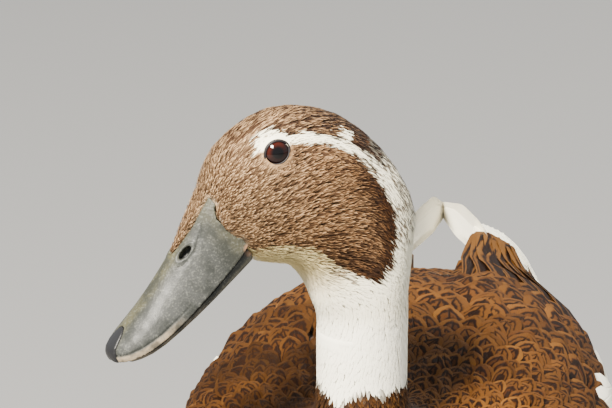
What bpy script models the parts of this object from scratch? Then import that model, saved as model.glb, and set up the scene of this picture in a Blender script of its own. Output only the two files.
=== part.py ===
"""A standing duck of the fawn-and-white runner kind, life size, with its head turned to its right.

The head, neck and trunk are one lofted body, parted by thin cuts. Bill, eyes, wings, tail, thighs, shanks
and webbed feet are solids of their own that meet it. Metres, +Z up. The duck faces -Y, its left is +X, and
the floor is z = 0. While it is modelled, the neck's own axis stands at x = 0, y = 0.
"""
import math

import bmesh
import bpy
from mathutils import Matrix, Vector
from mathutils.bvhtree import BVHTree

# Driving dimensions.
EYE_HEIGHT = 0.308
HEAD_REACH = Vector((-0.036, -0.015))   # from the neck's axis to the point midway between the eyes
NECK_LEAN = -0.0025                     # of the head and neck, to the duck's right, on the body
HEAD_TURN = math.radians(54.5)          # of the head, towards the duck's right
HEAD_BOW = math.radians(33.3)           # of the bill's mouth line, below the level
HEAD_TILT = math.radians(8.2)           # left side of the head up
EYE_RADIUS = 0.0064
EYE_DEPTH = 0.0124                      # of an eyeball's centre, from the head's middle plane
EYE_PLACE = (-0.0003, -0.0016)          # of its centre, from the middle of the eye's opening: forward, up
BILL_TIP = 0.0906                       # from midway between the eyes, along the mouth line
TAIL_TIP = 0.352                        # behind the neck's axis
WING_TIP = 0.299
FOOT_LENGTH = 0.062
FOOT_SPREAD = 0.043                     # of each foot, from the middle plane
ANKLE_BACK = 0.116                      # of each ankle, behind the neck's axis
GAP = 0.0004                            # between solids that meet
SEGMENTS = 28                           # round the body

HEAD_AXES = (
    Matrix.Rotation(-HEAD_TURN, 3, "Z")
    @ Matrix.Rotation(HEAD_BOW, 3, "X")
    @ Matrix.Rotation(-HEAD_TILT, 3, "Y")
)
HEAD_MIDDLE = Vector((HEAD_REACH.x + NECK_LEAN, HEAD_REACH.y, EYE_HEIGHT))

COLOURS = {
    "fawn": ((0.36, 0.20, 0.10), 0.75),
    "brown": ((0.24, 0.12, 0.05), 0.75),
    "white": ((0.86, 0.83, 0.74), 0.7),
    "slate": ((0.16, 0.18, 0.18), 0.4),
    "nail": ((0.03, 0.03, 0.035), 0.35),
    "eye": ((0.035, 0.012, 0.01), 0.06),
    "leg": ((0.62, 0.25, 0.06), 0.55),
}

# Head stations, from the bill's root to the nape, in the head's own plane: the upper point (forward, up),
# the lower point (forward, up), the half width, how far down it is widest, and the fullness of the ring.
HEAD_STATIONS = (
    ((0.0276, 0.0012), (0.0286, -0.0295), 0.0108, 0.52, 2.3),
    ((0.0260, 0.0026), (0.0280, -0.0318), 0.0121, 0.52, 2.4),
    ((0.0230, 0.0046), (0.0256, -0.0348), 0.0139, 0.52, 2.5),
    ((0.0140, 0.0088), (0.0210, -0.0395), 0.0168, 0.50, 2.5),
    ((0.0010, 0.0093), (0.0176, -0.0430), 0.0190, 0.48, 2.5),
    ((-0.0120, 0.0062), (0.0166, -0.0458), 0.0205, 0.48, 2.5),
    ((-0.0228, -0.0018), (0.0162, -0.0488), 0.0210, 0.48, 2.4),
    ((-0.0306, -0.0132), (0.0162, -0.0520), 0.0207, 0.50, 2.3),
    ((-0.0348, -0.0288), (0.0168, -0.0555), 0.0199, 0.50, 2.2),
    ((-0.0352, -0.0450), (0.0180, -0.0590), 0.0190, 0.50, 2.1),
    ((-0.0312, -0.0610), (0.0203, -0.0630), 0.0184, 0.50, 2.0),
)
# The feathered tongue that runs down the ridge of the bill: ahead of the eyes, height, half width, depth.
TONGUE = (
    (0.0262, 0.0018, 0.0058, 0.0060), (0.0320, -0.0010, 0.0052, 0.0058), (0.0400, -0.0046, 0.0036, 0.0050),
    (0.0470, -0.0080, 0.0020, 0.0034), (0.0508, -0.0098, 0.0007, 0.0014),
)

# Neck rings below the head: height of the middle, radius, slope of the ring, share of the head's turn left.
NECK_RINGS = (
    (0.2480, 0.0177, math.radians(19), 0.85),
    (0.2370, 0.0170, math.radians(6), 0.60),
    (0.2260, 0.0169, 0.0, 0.30),
    (0.2150, 0.0169, 0.0, 0.10),
)

# Body stations, from the foot of the neck to the tail's root, in the duck's middle plane: the upper point
# (back, height), the lower point (back, height), the half width.
BODY_STATIONS = (
    ((0.0175, 0.2045), (-0.0178, 0.2030), 0.0173),
    ((0.0225, 0.1990), (-0.0240, 0.1910), 0.0235),
    ((0.0310, 0.1970), (-0.0355, 0.1780), 0.0360),
    ((0.0430, 0.1975), (-0.0462, 0.1600), 0.0490),
    ((0.0600, 0.2005), (-0.0494, 0.1375), 0.0600),
    ((0.0800, 0.2040), (-0.0400, 0.1130), 0.0670),
    ((0.1000, 0.2060), (-0.0140, 0.0930), 0.0710),
    ((0.1200, 0.2060), (0.0280, 0.0810), 0.0730),
    ((0.1420, 0.2035), (0.0800, 0.0760), 0.0735),
    ((0.1650, 0.1985), (0.1250, 0.0790), 0.0710),
    ((0.1900, 0.1915), (0.1650, 0.0880), 0.0640),
    ((0.2140, 0.1840), (0.2000, 0.1020), 0.0540),
    ((0.2380, 0.1755), (0.2300, 0.1180), 0.0410),
    ((0.2580, 0.1675), (0.2540, 0.1310), 0.0290),
    ((0.2720, 0.1610), (0.2700, 0.1400), 0.0220),
)
HEAD_END = len(HEAD_STATIONS) - 1                # the station where the head is parted from the neck
NECK_END = HEAD_END + len(NECK_RINGS) + 1        # the station where the neck is parted from the trunk
BODY_END = NECK_END + len(BODY_STATIONS) - 1
RINGS_PER_STATION = {"head": 1.6, "neck": 1.6, "trunk": 1.5}

# Bill stations: distance ahead of the eyes, height of the culmen, of the rim, half width, fullness.
UPPER_BILL = (
    (0.0240, 0.0006, -0.0215, 0.0110, 3.0),
    (0.0290, 0.0000, -0.0238, 0.0117, 2.9),
    (0.0380, -0.0048, -0.0262, 0.0111, 2.2),
    (0.0500, -0.0098, -0.0284, 0.0107, 1.9),
    (0.0620, -0.0141, -0.0297, 0.0111, 1.9),
    (0.0720, -0.0174, -0.0299, 0.0118, 2.1),
    (0.0800, -0.0194, -0.0293, 0.0116, 2.3),
    (0.0860, -0.0209, -0.0284, 0.0094, 2.4),
    (0.0893, -0.0224, -0.0276, 0.0062, 2.3),
    (BILL_TIP, -0.0240, -0.0270, 0.0024, 2.0),
)
# Lower bill: distance ahead of the eyes, height of its top, depth, half width.
LOWER_BILL = (
    (0.0180, -0.0220, 0.0085, 0.0098),
    (0.0290, -0.0244, 0.0072, 0.0101),
    (0.0400, -0.0272, 0.0054, 0.0096),
    (0.0520, -0.0293, 0.0042, 0.0094),
    (0.0640, -0.0304, 0.0033, 0.0098),
    (0.0740, -0.0304, 0.0030, 0.0102),
    (0.0810, -0.0299, 0.0026, 0.0090),
    (0.0860, -0.0291, 0.0021, 0.0052),
)
NAIL_START = 0.0803
NAIL_HALF_WIDTH = 0.0042
NOSTRIL = (0.0467, -0.0116, 0.0052)              # ahead of the eyes, up, and out
NOSTRIL_SIZE = (0.0031, 0.0013, 0.0026)          # half length, half height, depth
NOSTRIL_SLOPES = (math.radians(-13), math.radians(-9), math.radians(38))    # down ahead, in ahead, and roll
# The feathered lobe at each side of the bill's root: ahead of the eyes, up, out, and its half sizes.
LOBE = (0.0262, -0.0132, 0.0083, 0.0056, 0.0092, 0.0039)

# Folded wing: distance behind the neck's axis, the angle from the top where it starts and where it ends.
WING_ROWS = (
    (0.010, 62, 78), (0.018, 50, 92), (0.032, 41, 103), (0.060, 33, 112), (0.095, 28, 116),
    (0.130, 24, 116), (0.165, 20, 112), (0.200, 17, 104), (0.228, 15, 90), (0.248, 15, 66), (0.257, 20, 48),
)
WING_LIFT = ((0.190, 0.0), (0.215, 0.0405), (0.240, 0.0395), (0.257, 0.0390))   # least inner radius
WING_AXIS_HEIGHT = 0.150
WING_EDGE = 0.0010
# Thickness of the wing from its upper edge to its lower: fullest where the flight feathers lie folded.
WING_DEPTHS = (
    (0.0, 0.0010), (0.1, 0.0048), (0.25, 0.0076), (0.4, 0.0102), (0.55, 0.0138), (0.68, 0.0152), (0.8, 0.0138),
    (0.92, 0.0076), (1.0, 0.0010),
)

# Primaries: back, out, height, half width, half thickness. The tips cross over the rump.
PRIMARIES = (
    (0.236, 0.0232, 0.1764, 0.0080, 0.0014),
    (0.250, 0.0184, 0.1770, 0.0116, 0.0017),
    (0.264, 0.0140, 0.1786, 0.0126, 0.0016),
    (0.281, 0.0076, 0.1822, 0.0102, 0.0012),
    (WING_TIP, -0.0022, 0.1866, 0.0028, 0.0006),
)
CROSSING_TO_LEFT = 0.0012                        # of the middle plane
LEFT_OVER_RIGHT = 0.0024                         # half the height between the two crossing tips

# Thigh and shank: back, height, radius.
THIGH = ((0.116, 0.108, 0.0300), (0.124, 0.088, 0.0235), (0.131, 0.072, 0.0155), (0.135, 0.0600, 0.0088))
SHANK = (
    (0.1352, 0.0594, 0.0046), (0.1350, 0.0520, 0.0056), (0.1320, 0.0430, 0.0040),
    (0.1240, 0.0260, 0.0037), (0.1175, 0.0135, 0.0046), (0.1162, 0.0096, 0.0052),
)

# Toes of the left foot: turn outward from straight ahead, share of the foot's length, half width of the toe.
TOES = ((math.radians(-26), 0.80, 0.0034), (math.radians(2), 1.0, 0.0038), (math.radians(27), 0.94, 0.0034))
WEB_THICKNESS = 0.0012
TOE_HEIGHT = 0.0058
WEB_SCALLOP = 0.20                               # of the toe's length
TAIL_FEATHERS = 14


def clear_scene():
    for obj in list(bpy.data.objects):
        bpy.data.objects.remove(obj)


def material(name):
    found = bpy.data.materials.get(name)
    if found:
        return found
    colour, roughness = COLOURS[name]
    made = bpy.data.materials.new(name)
    made.use_nodes = True
    shader = made.node_tree.nodes["Principled BSDF"]
    shader.inputs["Base Color"].default_value = (*colour, 1.0)
    shader.inputs["Roughness"].default_value = roughness
    made.diffuse_color = (*colour, 1.0)
    return made


def node(name, points, faces, finish):
    """A named object from points and faces, with its faces turned outwards."""
    mesh = bpy.data.meshes.new(name)
    mesh.from_pydata([tuple(p) for p in points], [], faces)
    shape = bmesh.new()
    shape.from_mesh(mesh)
    bmesh.ops.recalc_face_normals(shape, faces=shape.faces)
    shape.to_mesh(mesh)
    shape.free()
    mesh.materials.append(material(finish))
    mesh.shade_smooth()
    obj = bpy.data.objects.new(name, mesh)
    bpy.context.scene.collection.objects.link(obj)
    return obj


def helper(obj):
    obj.hide_render = True
    obj.display_type = "WIRE"
    return obj


def cut(obj, cutter, operation="DIFFERENCE"):
    made = obj.modifiers.new(cutter.name, "BOOLEAN")
    made.operation = operation
    made.object = cutter
    made.solver = "EXACT"


def spline(rows, t):
    """The row at place t along a smooth curve through rows of numbers and vectors."""
    i = min(int(t), len(rows) - 2)
    u = t - i
    before, start, end, after = (rows[min(max(k, 0), len(rows) - 1)] for k in (i - 1, i, i + 1, i + 2))
    made = []
    for a, b, c, d in zip(before, start, end, after):
        slope_in = (c - a) * 0.5
        slope_out = (d - b) * 0.5
        ease = u * u * (3 - 2 * u)
        made.append(
            b * (1 - ease) + c * ease + slope_in * (u * (1 - u) ** 2) - slope_out * (u * u * (1 - u))
        )
    return made


def along(rows, count):
    """count rows, evenly spread over the stations."""
    return [spline(rows, (len(rows) - 1) * k / (count - 1)) for k in range(count)]


def at_distance(rows, distance):
    """The rest of the row whose first number is distance, between straight-joined rows."""
    for low, high in zip(rows, rows[1:]):
        if distance <= high[0]:
            share = max(0.0, (distance - low[0]) / (high[0] - low[0]))
            return [a + (b - a) * share for a, b in zip(low[1:], high[1:])]
    return list(rows[-1][1:])


def oval(centre, up, side, up_reach, down_reach, half_width, fullness, count=SEGMENTS):
    """A closed ring: an ellipse that fullness above 2 squares off."""
    ring = []
    for k in range(count):
        angle = 2 * math.pi * k / count
        c, s = math.cos(angle), math.sin(angle)
        rise = math.copysign(abs(c) ** (2 / fullness), c)
        spread = math.copysign(abs(s) ** (2 / fullness), s)
        ring.append(centre + up * (rise * (up_reach if rise > 0 else down_reach)) + side * (spread * half_width))
    return ring


def tube(rings):
    """Points and faces of a closed body through rings of the same count, capped at both ends."""
    count = len(rings[0])
    faces = [
        [a * count + k, a * count + (k + 1) % count, (a + 1) * count + (k + 1) % count, (a + 1) * count + k]
        for a in range(len(rings) - 1)
        for k in range(count)
    ]
    last = (len(rings) - 1) * count
    faces.append(list(range(count)))
    faces.append([last + k for k in range(count)])
    return [p for ring in rings for p in ring], faces


def head_point(forward, up, left=0.0):
    return HEAD_MIDDLE + HEAD_AXES @ Vector((left, -forward, up))


# The lofted body ------------------------------------------------------------------------------------------

def body_rows():
    """Every station of head, neck and trunk: upper point, lower point, side, half width, level, fullness."""
    rows = []
    head_side = HEAD_AXES @ Vector((1, 0, 0))
    for upper, lower, half_width, level, fullness in HEAD_STATIONS:
        rows.append((head_point(*upper), head_point(*lower), head_side, half_width, level, fullness))
    for height, radius, slope, turn_left in NECK_RINGS:
        turn = Matrix.Rotation(-HEAD_TURN * turn_left, 3, "Z")
        back = turn @ Vector((0, math.cos(slope), math.sin(slope)))
        middle = Vector((NECK_LEAN, 0, height))
        rows.append((middle + back * radius, middle - back * radius, turn @ Vector((1, 0, 0)), radius, 0.5, 2.0))
    for k, (upper, lower, half_width) in enumerate(BODY_STATIONS):
        lean = NECK_LEAN * max(0.0, 1 - k / 4)
        rows.append((Vector((lean, *upper)), Vector((lean, *lower)), Vector((1, 0, 0)), half_width, 0.5, 2.15))
    return rows


def body_ring(rows, t, grow=0.0, shift=0.0):
    """One ring of the loft. grow makes it wider all round, and shift moves it along the body."""
    upper, lower, side, half_width, level, fullness = spline(rows, t)
    axis = upper - lower
    reach = axis.length
    axis.normalize()
    side = (side - axis * side.dot(axis)).normalized()
    centre = upper - axis * reach * level + axis.cross(side) * shift
    return oval(centre, axis, side, reach * level + grow, reach * (1 - level) + grow, half_width + grow, fullness)


def loft(rows, start, end, rings_per_station, grow=0.0, start_shift=0.0):
    count = max(3, round((end - start) * rings_per_station) + 1)
    rings = []
    for k in range(count):
        t = start + (end - start) * k / (count - 1)
        rings.append(body_ring(rows, t, grow, start_shift if k == 0 else 0.0))
    return tube(rings)


def make_body(rows):
    spans = (
        ("head", 0, HEAD_END, "fawn"), ("neck", HEAD_END, NECK_END, "white"), ("trunk", NECK_END, BODY_END, "brown"),
    )
    made = {}
    for name, start, end, finish in spans:
        shift = GAP if start else 0.0
        points, faces = loft(rows, start, end, RINGS_PER_STATION[name], start_shift=shift)
        made[name] = node(name, points, faces, finish)
    return made


def make_clearances(rows, head):
    """The head, its tongue and the trunk, grown by the gap: what meets them is cut by these."""
    made = {}
    for name, start, end in (("head", 0, HEAD_END), ("trunk", NECK_END, BODY_END)):
        points, faces = loft(rows, start, end, RINGS_PER_STATION[name], grow=GAP)
        made[name] = helper(node(name + "_clearance", points, faces, "fawn"))
    for name, side in (("lobe_left", 1), ("lobe_right", -1)):
        cut(head, make_lobe(name, side), "UNION")
    for name, grow in (("tongue", 0.0), ("tongue_clearance", GAP)):
        rings = [
            oval(head_point(ahead, height), HEAD_AXES.col[2], HEAD_AXES.col[0],
                 grow, depth + grow, half_width + grow, 2.0, 12)
            for ahead, height, half_width, depth in along(TONGUE, 7)
        ]
        made[name] = helper(node(name, *tube(rings), "fawn"))
    cut(head, made["tongue"], "UNION")
    return made


# Eyes and bill --------------------------------------------------------------------------------------------

def ball(name, centre, radius, finish, scale=(1, 1, 1), axes=None, rings=7, segments=12):
    axes = axes or Matrix.Identity(3)
    poles = [centre + axes @ Vector((0, 0, s * radius * scale[2])) for s in (1, -1)]
    points = [poles[0]]
    for a in range(1, rings):
        tilt = math.pi * a / rings
        for k in range(segments):
            turn = 2 * math.pi * k / segments
            offset = Vector((math.sin(tilt) * math.cos(turn), math.sin(tilt) * math.sin(turn), math.cos(tilt)))
            points.append(centre + axes @ Vector(o * s * radius for o, s in zip(offset, scale)))
    points.append(poles[1])
    last = len(points) - 1
    faces = [[0, 1 + k, 1 + (k + 1) % segments] for k in range(segments)]
    for a in range(rings - 2):
        base = 1 + a * segments
        for k in range(segments):
            n = (k + 1) % segments
            faces.append([base + k, base + segments + k, base + segments + n, base + n])
    base = 1 + (rings - 2) * segments
    faces += [[base + (k + 1) % segments, base + k, last] for k in range(segments)]
    return node(name, points, faces, finish)


def make_eyes(head):
    for name, side in (("eye_left", 1), ("eye_right", -1)):
        centre = head_point(*EYE_PLACE, side * EYE_DEPTH)
        ball(name, centre, EYE_RADIUS, "eye", axes=HEAD_AXES)
        cut(head, helper(ball(name + "_socket", centre, EYE_RADIUS + GAP, "eye", axes=HEAD_AXES)))


def upper_bill_ring(row, half=8):
    """An arch from rim to rim over the culmen, closed by a slightly hollow palate."""
    ahead, culmen, rim, half_width, fullness = row
    ring = []
    for k in range(-half, half + 1):
        angle = math.pi / 2 * k / half
        rise = math.cos(angle) ** (2 / fullness)
        spread = math.copysign(abs(math.sin(angle)) ** (2 / fullness), k)
        ring.append(head_point(ahead, rim + (culmen - rim) * rise, spread * half_width))
    hollow = min(0.0010, (culmen - rim) * 0.15)
    for share in (0.55, 0.0, -0.55):
        ring.append(head_point(ahead, rim + hollow * (1 - share * share), share * half_width))
    return ring


def lower_bill_ring(row, half=5):
    """A shallow trough under the upper bill."""
    ahead, top, depth, half_width = row
    ring = []
    for k in range(-half, half + 1):
        angle = math.pi / 2 * k / half
        ring.append(head_point(ahead, top - depth * math.cos(angle) ** 0.8, math.sin(angle) * half_width))
    ring += [head_point(ahead, top, half_width * share) for share in (0.5, 0.0, -0.5)]
    return ring


def nail_cutter(grow):
    """An upright shield-shaped prism round the nail, through the tip of the bill."""
    outline = []
    length = BILL_TIP - NAIL_START + 0.004
    for k in range(13):
        angle = math.pi * (k / 12 - 0.5)
        back = NAIL_START - grow + length * (1 - math.cos(angle)) * 0.55
        outline.append((back, math.sin(angle) * (NAIL_HALF_WIDTH + grow)))
    ahead = BILL_TIP + 0.006
    outline = [(ahead, -NAIL_HALF_WIDTH - grow), *outline, (ahead, NAIL_HALF_WIDTH + grow)]
    rings = [[head_point(x, height, y) for x, y in outline] for height in (-0.040, -0.012)]
    return tube(rings)


def make_lobe(name, side, grow=0.0):
    ahead, up, out, reach, height, width = LOBE
    scale = (width + grow, reach + grow, height + grow)
    return helper(ball(name, head_point(ahead, up, side * out), 1.0, "fawn", scale, HEAD_AXES, 6, 10))


def nostril_axes(side):
    """Along the nostril's depth, its length and its height, on one side of the bill."""
    down, inward, roll = NOSTRIL_SLOPES
    ahead = Vector((-side * math.sin(-inward), -math.cos(down), math.sin(down))).normalized()
    out = Vector((side * math.cos(roll), 0, math.sin(roll)))
    out = (out - ahead * out.dot(ahead)).normalized()
    return HEAD_AXES @ Matrix((out, -ahead, out.cross(-ahead))).transposed()


def make_bill(clearances):
    upper = node("bill_upper", *tube([upper_bill_ring(r) for r in along(UPPER_BILL, 14)]), "slate")
    lower = node("bill_lower", *tube([lower_bill_ring(r) for r in along(LOWER_BILL, 11)]), "slate")
    nail = node("bill_nail", *tube([upper_bill_ring(r) for r in along(UPPER_BILL, 14)]), "nail")
    cut(upper, clearances["head"])
    cut(upper, clearances["tongue_clearance"])
    cut(lower, clearances["head"])
    cut(nail, helper(node("nail_shape", *nail_cutter(0.0), "nail")), "INTERSECT")
    cut(upper, helper(node("nail_seat", *nail_cutter(0.0003), "nail")))
    for name, side in (("left", 1), ("right", -1)):
        cut(upper, make_lobe("lobe_clearance_" + name, side, GAP))
        ahead, up, out = NOSTRIL
        length, height, depth = NOSTRIL_SIZE
        place = head_point(ahead, up, side * out)
        pit = ball("nostril_" + name, place, 1.0, "nail", (depth, length, height), nostril_axes(side), 6, 12)
        cut(upper, helper(pit))


# Wings and tail -------------------------------------------------------------------------------------------

def surface_tree(obj):
    return BVHTree.FromObject(obj, bpy.context.evaluated_depsgraph_get())


def wing_radius(tree, back, angle):
    """How far the folded wing's inner face stands from the wing's axis."""
    axis = Vector((0, back, WING_AXIS_HEIGHT))
    direction = Vector((math.sin(angle), 0, math.cos(angle)))
    hit = tree.ray_cast(axis, direction)
    radius = hit[3] + 3.5 * GAP if hit[0] else 0.0
    return axis, direction, max(radius, at_distance(WING_LIFT, back)[0])


def make_wing(tree, name, side, across=10, rows=17):
    """A shell that lies on the trunk, thickest along its middle."""
    outer, inner = [], []
    for i in range(rows):
        back, first, last = spline(WING_ROWS, (len(WING_ROWS) - 1) * i / (rows - 1))
        share = i / (rows - 1)
        body = min(1.0, share * 9) ** 0.5 * (1 - 0.55 * share - 0.5 * max(0.0, share - 0.5))
        for j in range(across):
            u = j / (across - 1)
            axis, direction, radius = wing_radius(tree, back, math.radians(first + (last - first) * u))
            depth = WING_EDGE + (at_distance(WING_DEPTHS, u)[0] - WING_EDGE) * body
            inner.append(axis + direction * radius)
            outer.append(axis + direction * (radius + depth))
    points = [Vector((p.x * side, p.y, p.z)) for p in outer + inner]
    shell = rows * across
    faces = []
    for i in range(rows - 1):
        for j in range(across - 1):
            a = i * across + j
            faces.append([a, a + 1, a + across + 1, a + across])
            faces.append([shell + a, shell + a + across, shell + a + across + 1, shell + a + 1])
    rim = [j for j in range(across)]
    rim += [i * across + across - 1 for i in range(1, rows)]
    rim += [(rows - 1) * across + j for j in range(across - 2, -1, -1)]
    rim += [i * across for i in range(rows - 2, 0, -1)]
    for a, b in zip(rim, rim[1:] + rim[:1]):
        faces.append([a, b, shell + b, shell + a])
    return node(name, points, faces, "brown")


def make_primaries(name, side):
    """A blade of stacked feather tips that leaves the wing and crosses the rump."""
    rings = []
    for back, out, height, half_width, half_thickness in along(PRIMARIES, 8):
        rise = LEFT_OVER_RIGHT * side * max(0.0, (back - 0.255) / (WING_TIP - 0.255))
        drift = CROSSING_TO_LEFT * max(0.0, (back - 0.240) / (WING_TIP - 0.240)) ** 1.5
        centre = Vector((side * out + drift, back, height + rise))
        lean = math.radians(48) * min(1.0, abs(out) / 0.02)
        across = Vector((side * math.cos(lean), 0, -math.sin(lean)))
        rings.append(oval(centre, across, across.cross(Vector((0, 1, 0))),
                          half_width, half_width, half_thickness, 2.0, 10))
    return node(name, *tube(rings), "white")


def make_tail(rows_back=6, across=29):
    """A closed fan of tail feathers, each a low ridge with a rounded tip."""
    root_back, root_height = BODY_STATIONS[-1][0][0] + 2 * GAP, 0.1505
    upper, lower = [], []
    for i in range(rows_back):
        share = i / (rows_back - 1)
        for j in range(across):
            u = 2 * j / (across - 1) - 1
            ridge = abs(math.sin(math.pi * TAIL_FEATHERS * (u + 1) / 2))
            length = (TAIL_TIP - root_back) * (1 - 0.24 * abs(u) ** 2.2) - 0.006 * (1 - ridge)
            back = root_back + length * share
            out = u * (0.0205 + 0.0165 * share ** 0.8)
            height = root_height - 0.022 * share - 0.004 * u * u * share
            depth = (0.0095 * (1 - share) ** 1.6 * math.sqrt(max(0.0, 1 - 0.9 * u * u))
                     + 0.0007 + 0.0007 * ridge * min(1.0, 3 * share))
            upper.append(Vector((out, back, height + depth)))
            lower.append(Vector((out, back, height - depth)))
    shell = rows_back * across
    faces = []
    for i in range(rows_back - 1):
        for j in range(across - 1):
            a = i * across + j
            faces.append([a, a + 1, a + across + 1, a + across])
            faces.append([shell + a, shell + a + across, shell + a + across + 1, shell + a + 1])
    rim = [j for j in range(across)]
    rim += [i * across + across - 1 for i in range(1, rows_back)]
    rim += [(rows_back - 1) * across + j for j in range(across - 2, -1, -1)]
    rim += [i * across for i in range(rows_back - 2, 0, -1)]
    for a, b in zip(rim, rim[1:] + rim[:1]):
        faces.append([a, b, shell + b, shell + a])
    return node("tail", upper + lower, faces, "brown")


# Legs -----------------------------------------------------------------------------------------------------

def leg_tube(name, stations, side, finish, count, rings, reach_out=FOOT_SPREAD):
    """A round limb through stations in an upright plane beside the body."""
    rows = along(stations, rings)
    made = []
    for k, (back, height, radius) in enumerate(rows):
        ahead, behind = rows[max(k - 1, 0)], rows[min(k + 1, len(rows) - 1)]
        course = Vector((0, behind[0] - ahead[0], behind[1] - ahead[1])).normalized()
        if k == len(rows) - 1:
            course = Vector((0, 0, -1))
        across = Vector((1, 0, 0))
        centre = Vector((side * reach_out, back, height))
        made.append(oval(centre, across.cross(course), across, radius, radius, radius * 0.92, 2.0, count))
    return node(name, *tube(made), finish)


def foot_edge(angle):
    """How far the foot reaches along an angle, and how near that angle is to the line of a toe."""
    toes = sorted(TOES)
    low, high = toes[0], toes[-1]
    for first, second in zip(toes, toes[1:]):
        if first[0] <= angle <= second[0]:
            low, high = first, second
    share = (angle - low[0]) / (high[0] - low[0]) if high[0] > low[0] else 0.0
    reach = low[1] + (high[1] - low[1]) * share
    return FOOT_LENGTH * reach * (1 - WEB_SCALLOP * math.sin(math.pi * share) ** 0.9)


def make_foot(name, side, around=19, rings=5):
    """Three toes and their web as one low solid, flat underneath."""
    first, last = TOES[0][0] - math.radians(4.0), TOES[-1][0] + math.radians(4.0)
    centre = Vector((side * FOOT_SPREAD, ANKLE_BACK + 0.002, 0))
    top, sole = [], []
    for i in range(rings):
        share = 0.10 + 0.90 * i / (rings - 1)
        for j in range(around):
            angle = first + (last - first) * j / (around - 1)
            inside = min(max(angle, TOES[0][0]), TOES[-1][0])
            reach = foot_edge(inside) * (1 - 6 * abs(angle - inside)) * share
            near = max(
                math.exp(-1.6 * (reach * math.sin(angle - toe) / half_width) ** 2) for toe, _, half_width in TOES
            )
            height = WEB_THICKNESS + (TOE_HEIGHT * (1 - 0.62 * share) - WEB_THICKNESS) * near
            place = centre + Vector((side * math.sin(angle) * reach, -math.cos(angle) * reach, 0))
            top.append(place + Vector((0, 0, height)))
            sole.append(place)
    shell = rings * around
    faces = []
    for i in range(rings - 1):
        for j in range(around - 1):
            a = i * around + j
            faces.append([a, a + 1, a + around + 1, a + around])
            faces.append([shell + a, shell + a + around, shell + a + around + 1, shell + a + 1])
    rim = [j for j in range(around)]
    rim += [i * around + around - 1 for i in range(1, rings)]
    rim += [(rings - 1) * around + j for j in range(around - 2, -1, -1)]
    rim += [i * around for i in range(rings - 2, 0, -1)]
    for a, b in zip(rim, rim[1:] + rim[:1]):
        faces.append([a, b, shell + b, shell + a])
    foot = node(name, top + sole, faces, "leg")
    pad = ball(name + "_joint", centre + Vector((0, 0.001, 0.0048)), 1.0, "leg", (0.0062, 0.0085, 0.0045),
               rings=6, segments=10)
    cut(foot, helper(pad), "UNION")
    for k, (angle, share, half_width) in enumerate(TOES):
        claw = make_claw(f"{name}_claw_{k}", centre, side * angle, FOOT_LENGTH * share, half_width)
        cut(foot, helper(claw), "UNION")
    return foot


def make_claw(name, centre, angle, reach, half_width):
    """A short blunt claw that curves down from the toe's end to the floor."""
    ahead = Vector((math.sin(angle), -math.cos(angle), 0))
    across = Vector((0, 0, 1)).cross(ahead)
    rings = []
    for k in range(4):
        share = k / 3
        radius = half_width * 0.52 * (1 - share) + 0.00035
        place = centre + ahead * (reach - 0.004 + 0.0105 * share)
        place.z = 0.0030 - 0.0021 * share * share
        rings.append(oval(place, Vector((0, 0, 1)), across, radius, min(radius, place.z), radius, 2.0, 6))
    return node(name, *tube(rings), "nail")


def make_hind_toe(name, side):
    """The small raised toe behind the ankle."""
    rings = []
    for k in range(6):
        share = k / 5
        radius = 0.0022 * (1 - 0.75 * share)
        place = Vector((side * (FOOT_SPREAD - 0.002), 0.1226 + 0.0125 * share, 0.0112 - 0.0070 * share))
        rings.append(oval(place, Vector((0, 0.5, 0.86)), Vector((1, 0, 0)), radius, radius, radius, 2.0, 8))
    return node(name, *tube(rings), "leg")


def make_legs(clearance):
    for suffix, side in (("left", 1), ("right", -1)):
        thigh = leg_tube("thigh_" + suffix, THIGH, side, "white", 16, 7)
        cut(thigh, clearance)
        leg_tube("shank_" + suffix, SHANK, side, "leg", 12, 9)
        make_foot("foot_" + suffix, side)
        make_hind_toe("hind_toe_" + suffix, side)


def stand_on_origin():
    """Moves the whole duck so that the middle of its box stands over x = 0, y = 0, on the floor."""
    bpy.context.view_layer.update()
    graph = bpy.context.evaluated_depsgraph_get()
    corners = [
        obj.evaluated_get(graph).matrix_world @ Vector(corner)
        for obj in bpy.data.objects if not obj.hide_render
        for corner in obj.evaluated_get(graph).bound_box
    ]
    low = Vector(min(c[k] for c in corners) for k in range(3))
    high = Vector(max(c[k] for c in corners) for k in range(3))
    move = Matrix.Translation((-(low.x + high.x) / 2, -(low.y + high.y) / 2, -low.z))
    for obj in bpy.data.objects:
        obj.data.transform(move)


def main():
    clear_scene()
    rows = body_rows()
    body = make_body(rows)
    clearances = make_clearances(rows, body["head"])
    make_eyes(body["head"])
    make_bill(clearances)
    tree = surface_tree(body["trunk"])
    for suffix, side in (("left", 1), ("right", -1)):
        make_wing(tree, "wing_" + suffix, side)
        make_primaries("primaries_" + suffix, side)
    make_tail()
    make_legs(clearances["trunk"])
    stand_on_origin()


main()
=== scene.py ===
import math

import bmesh
import bpy
import numpy as np
from mathutils import Matrix, Vector
from mathutils.bvhtree import BVHTree


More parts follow.
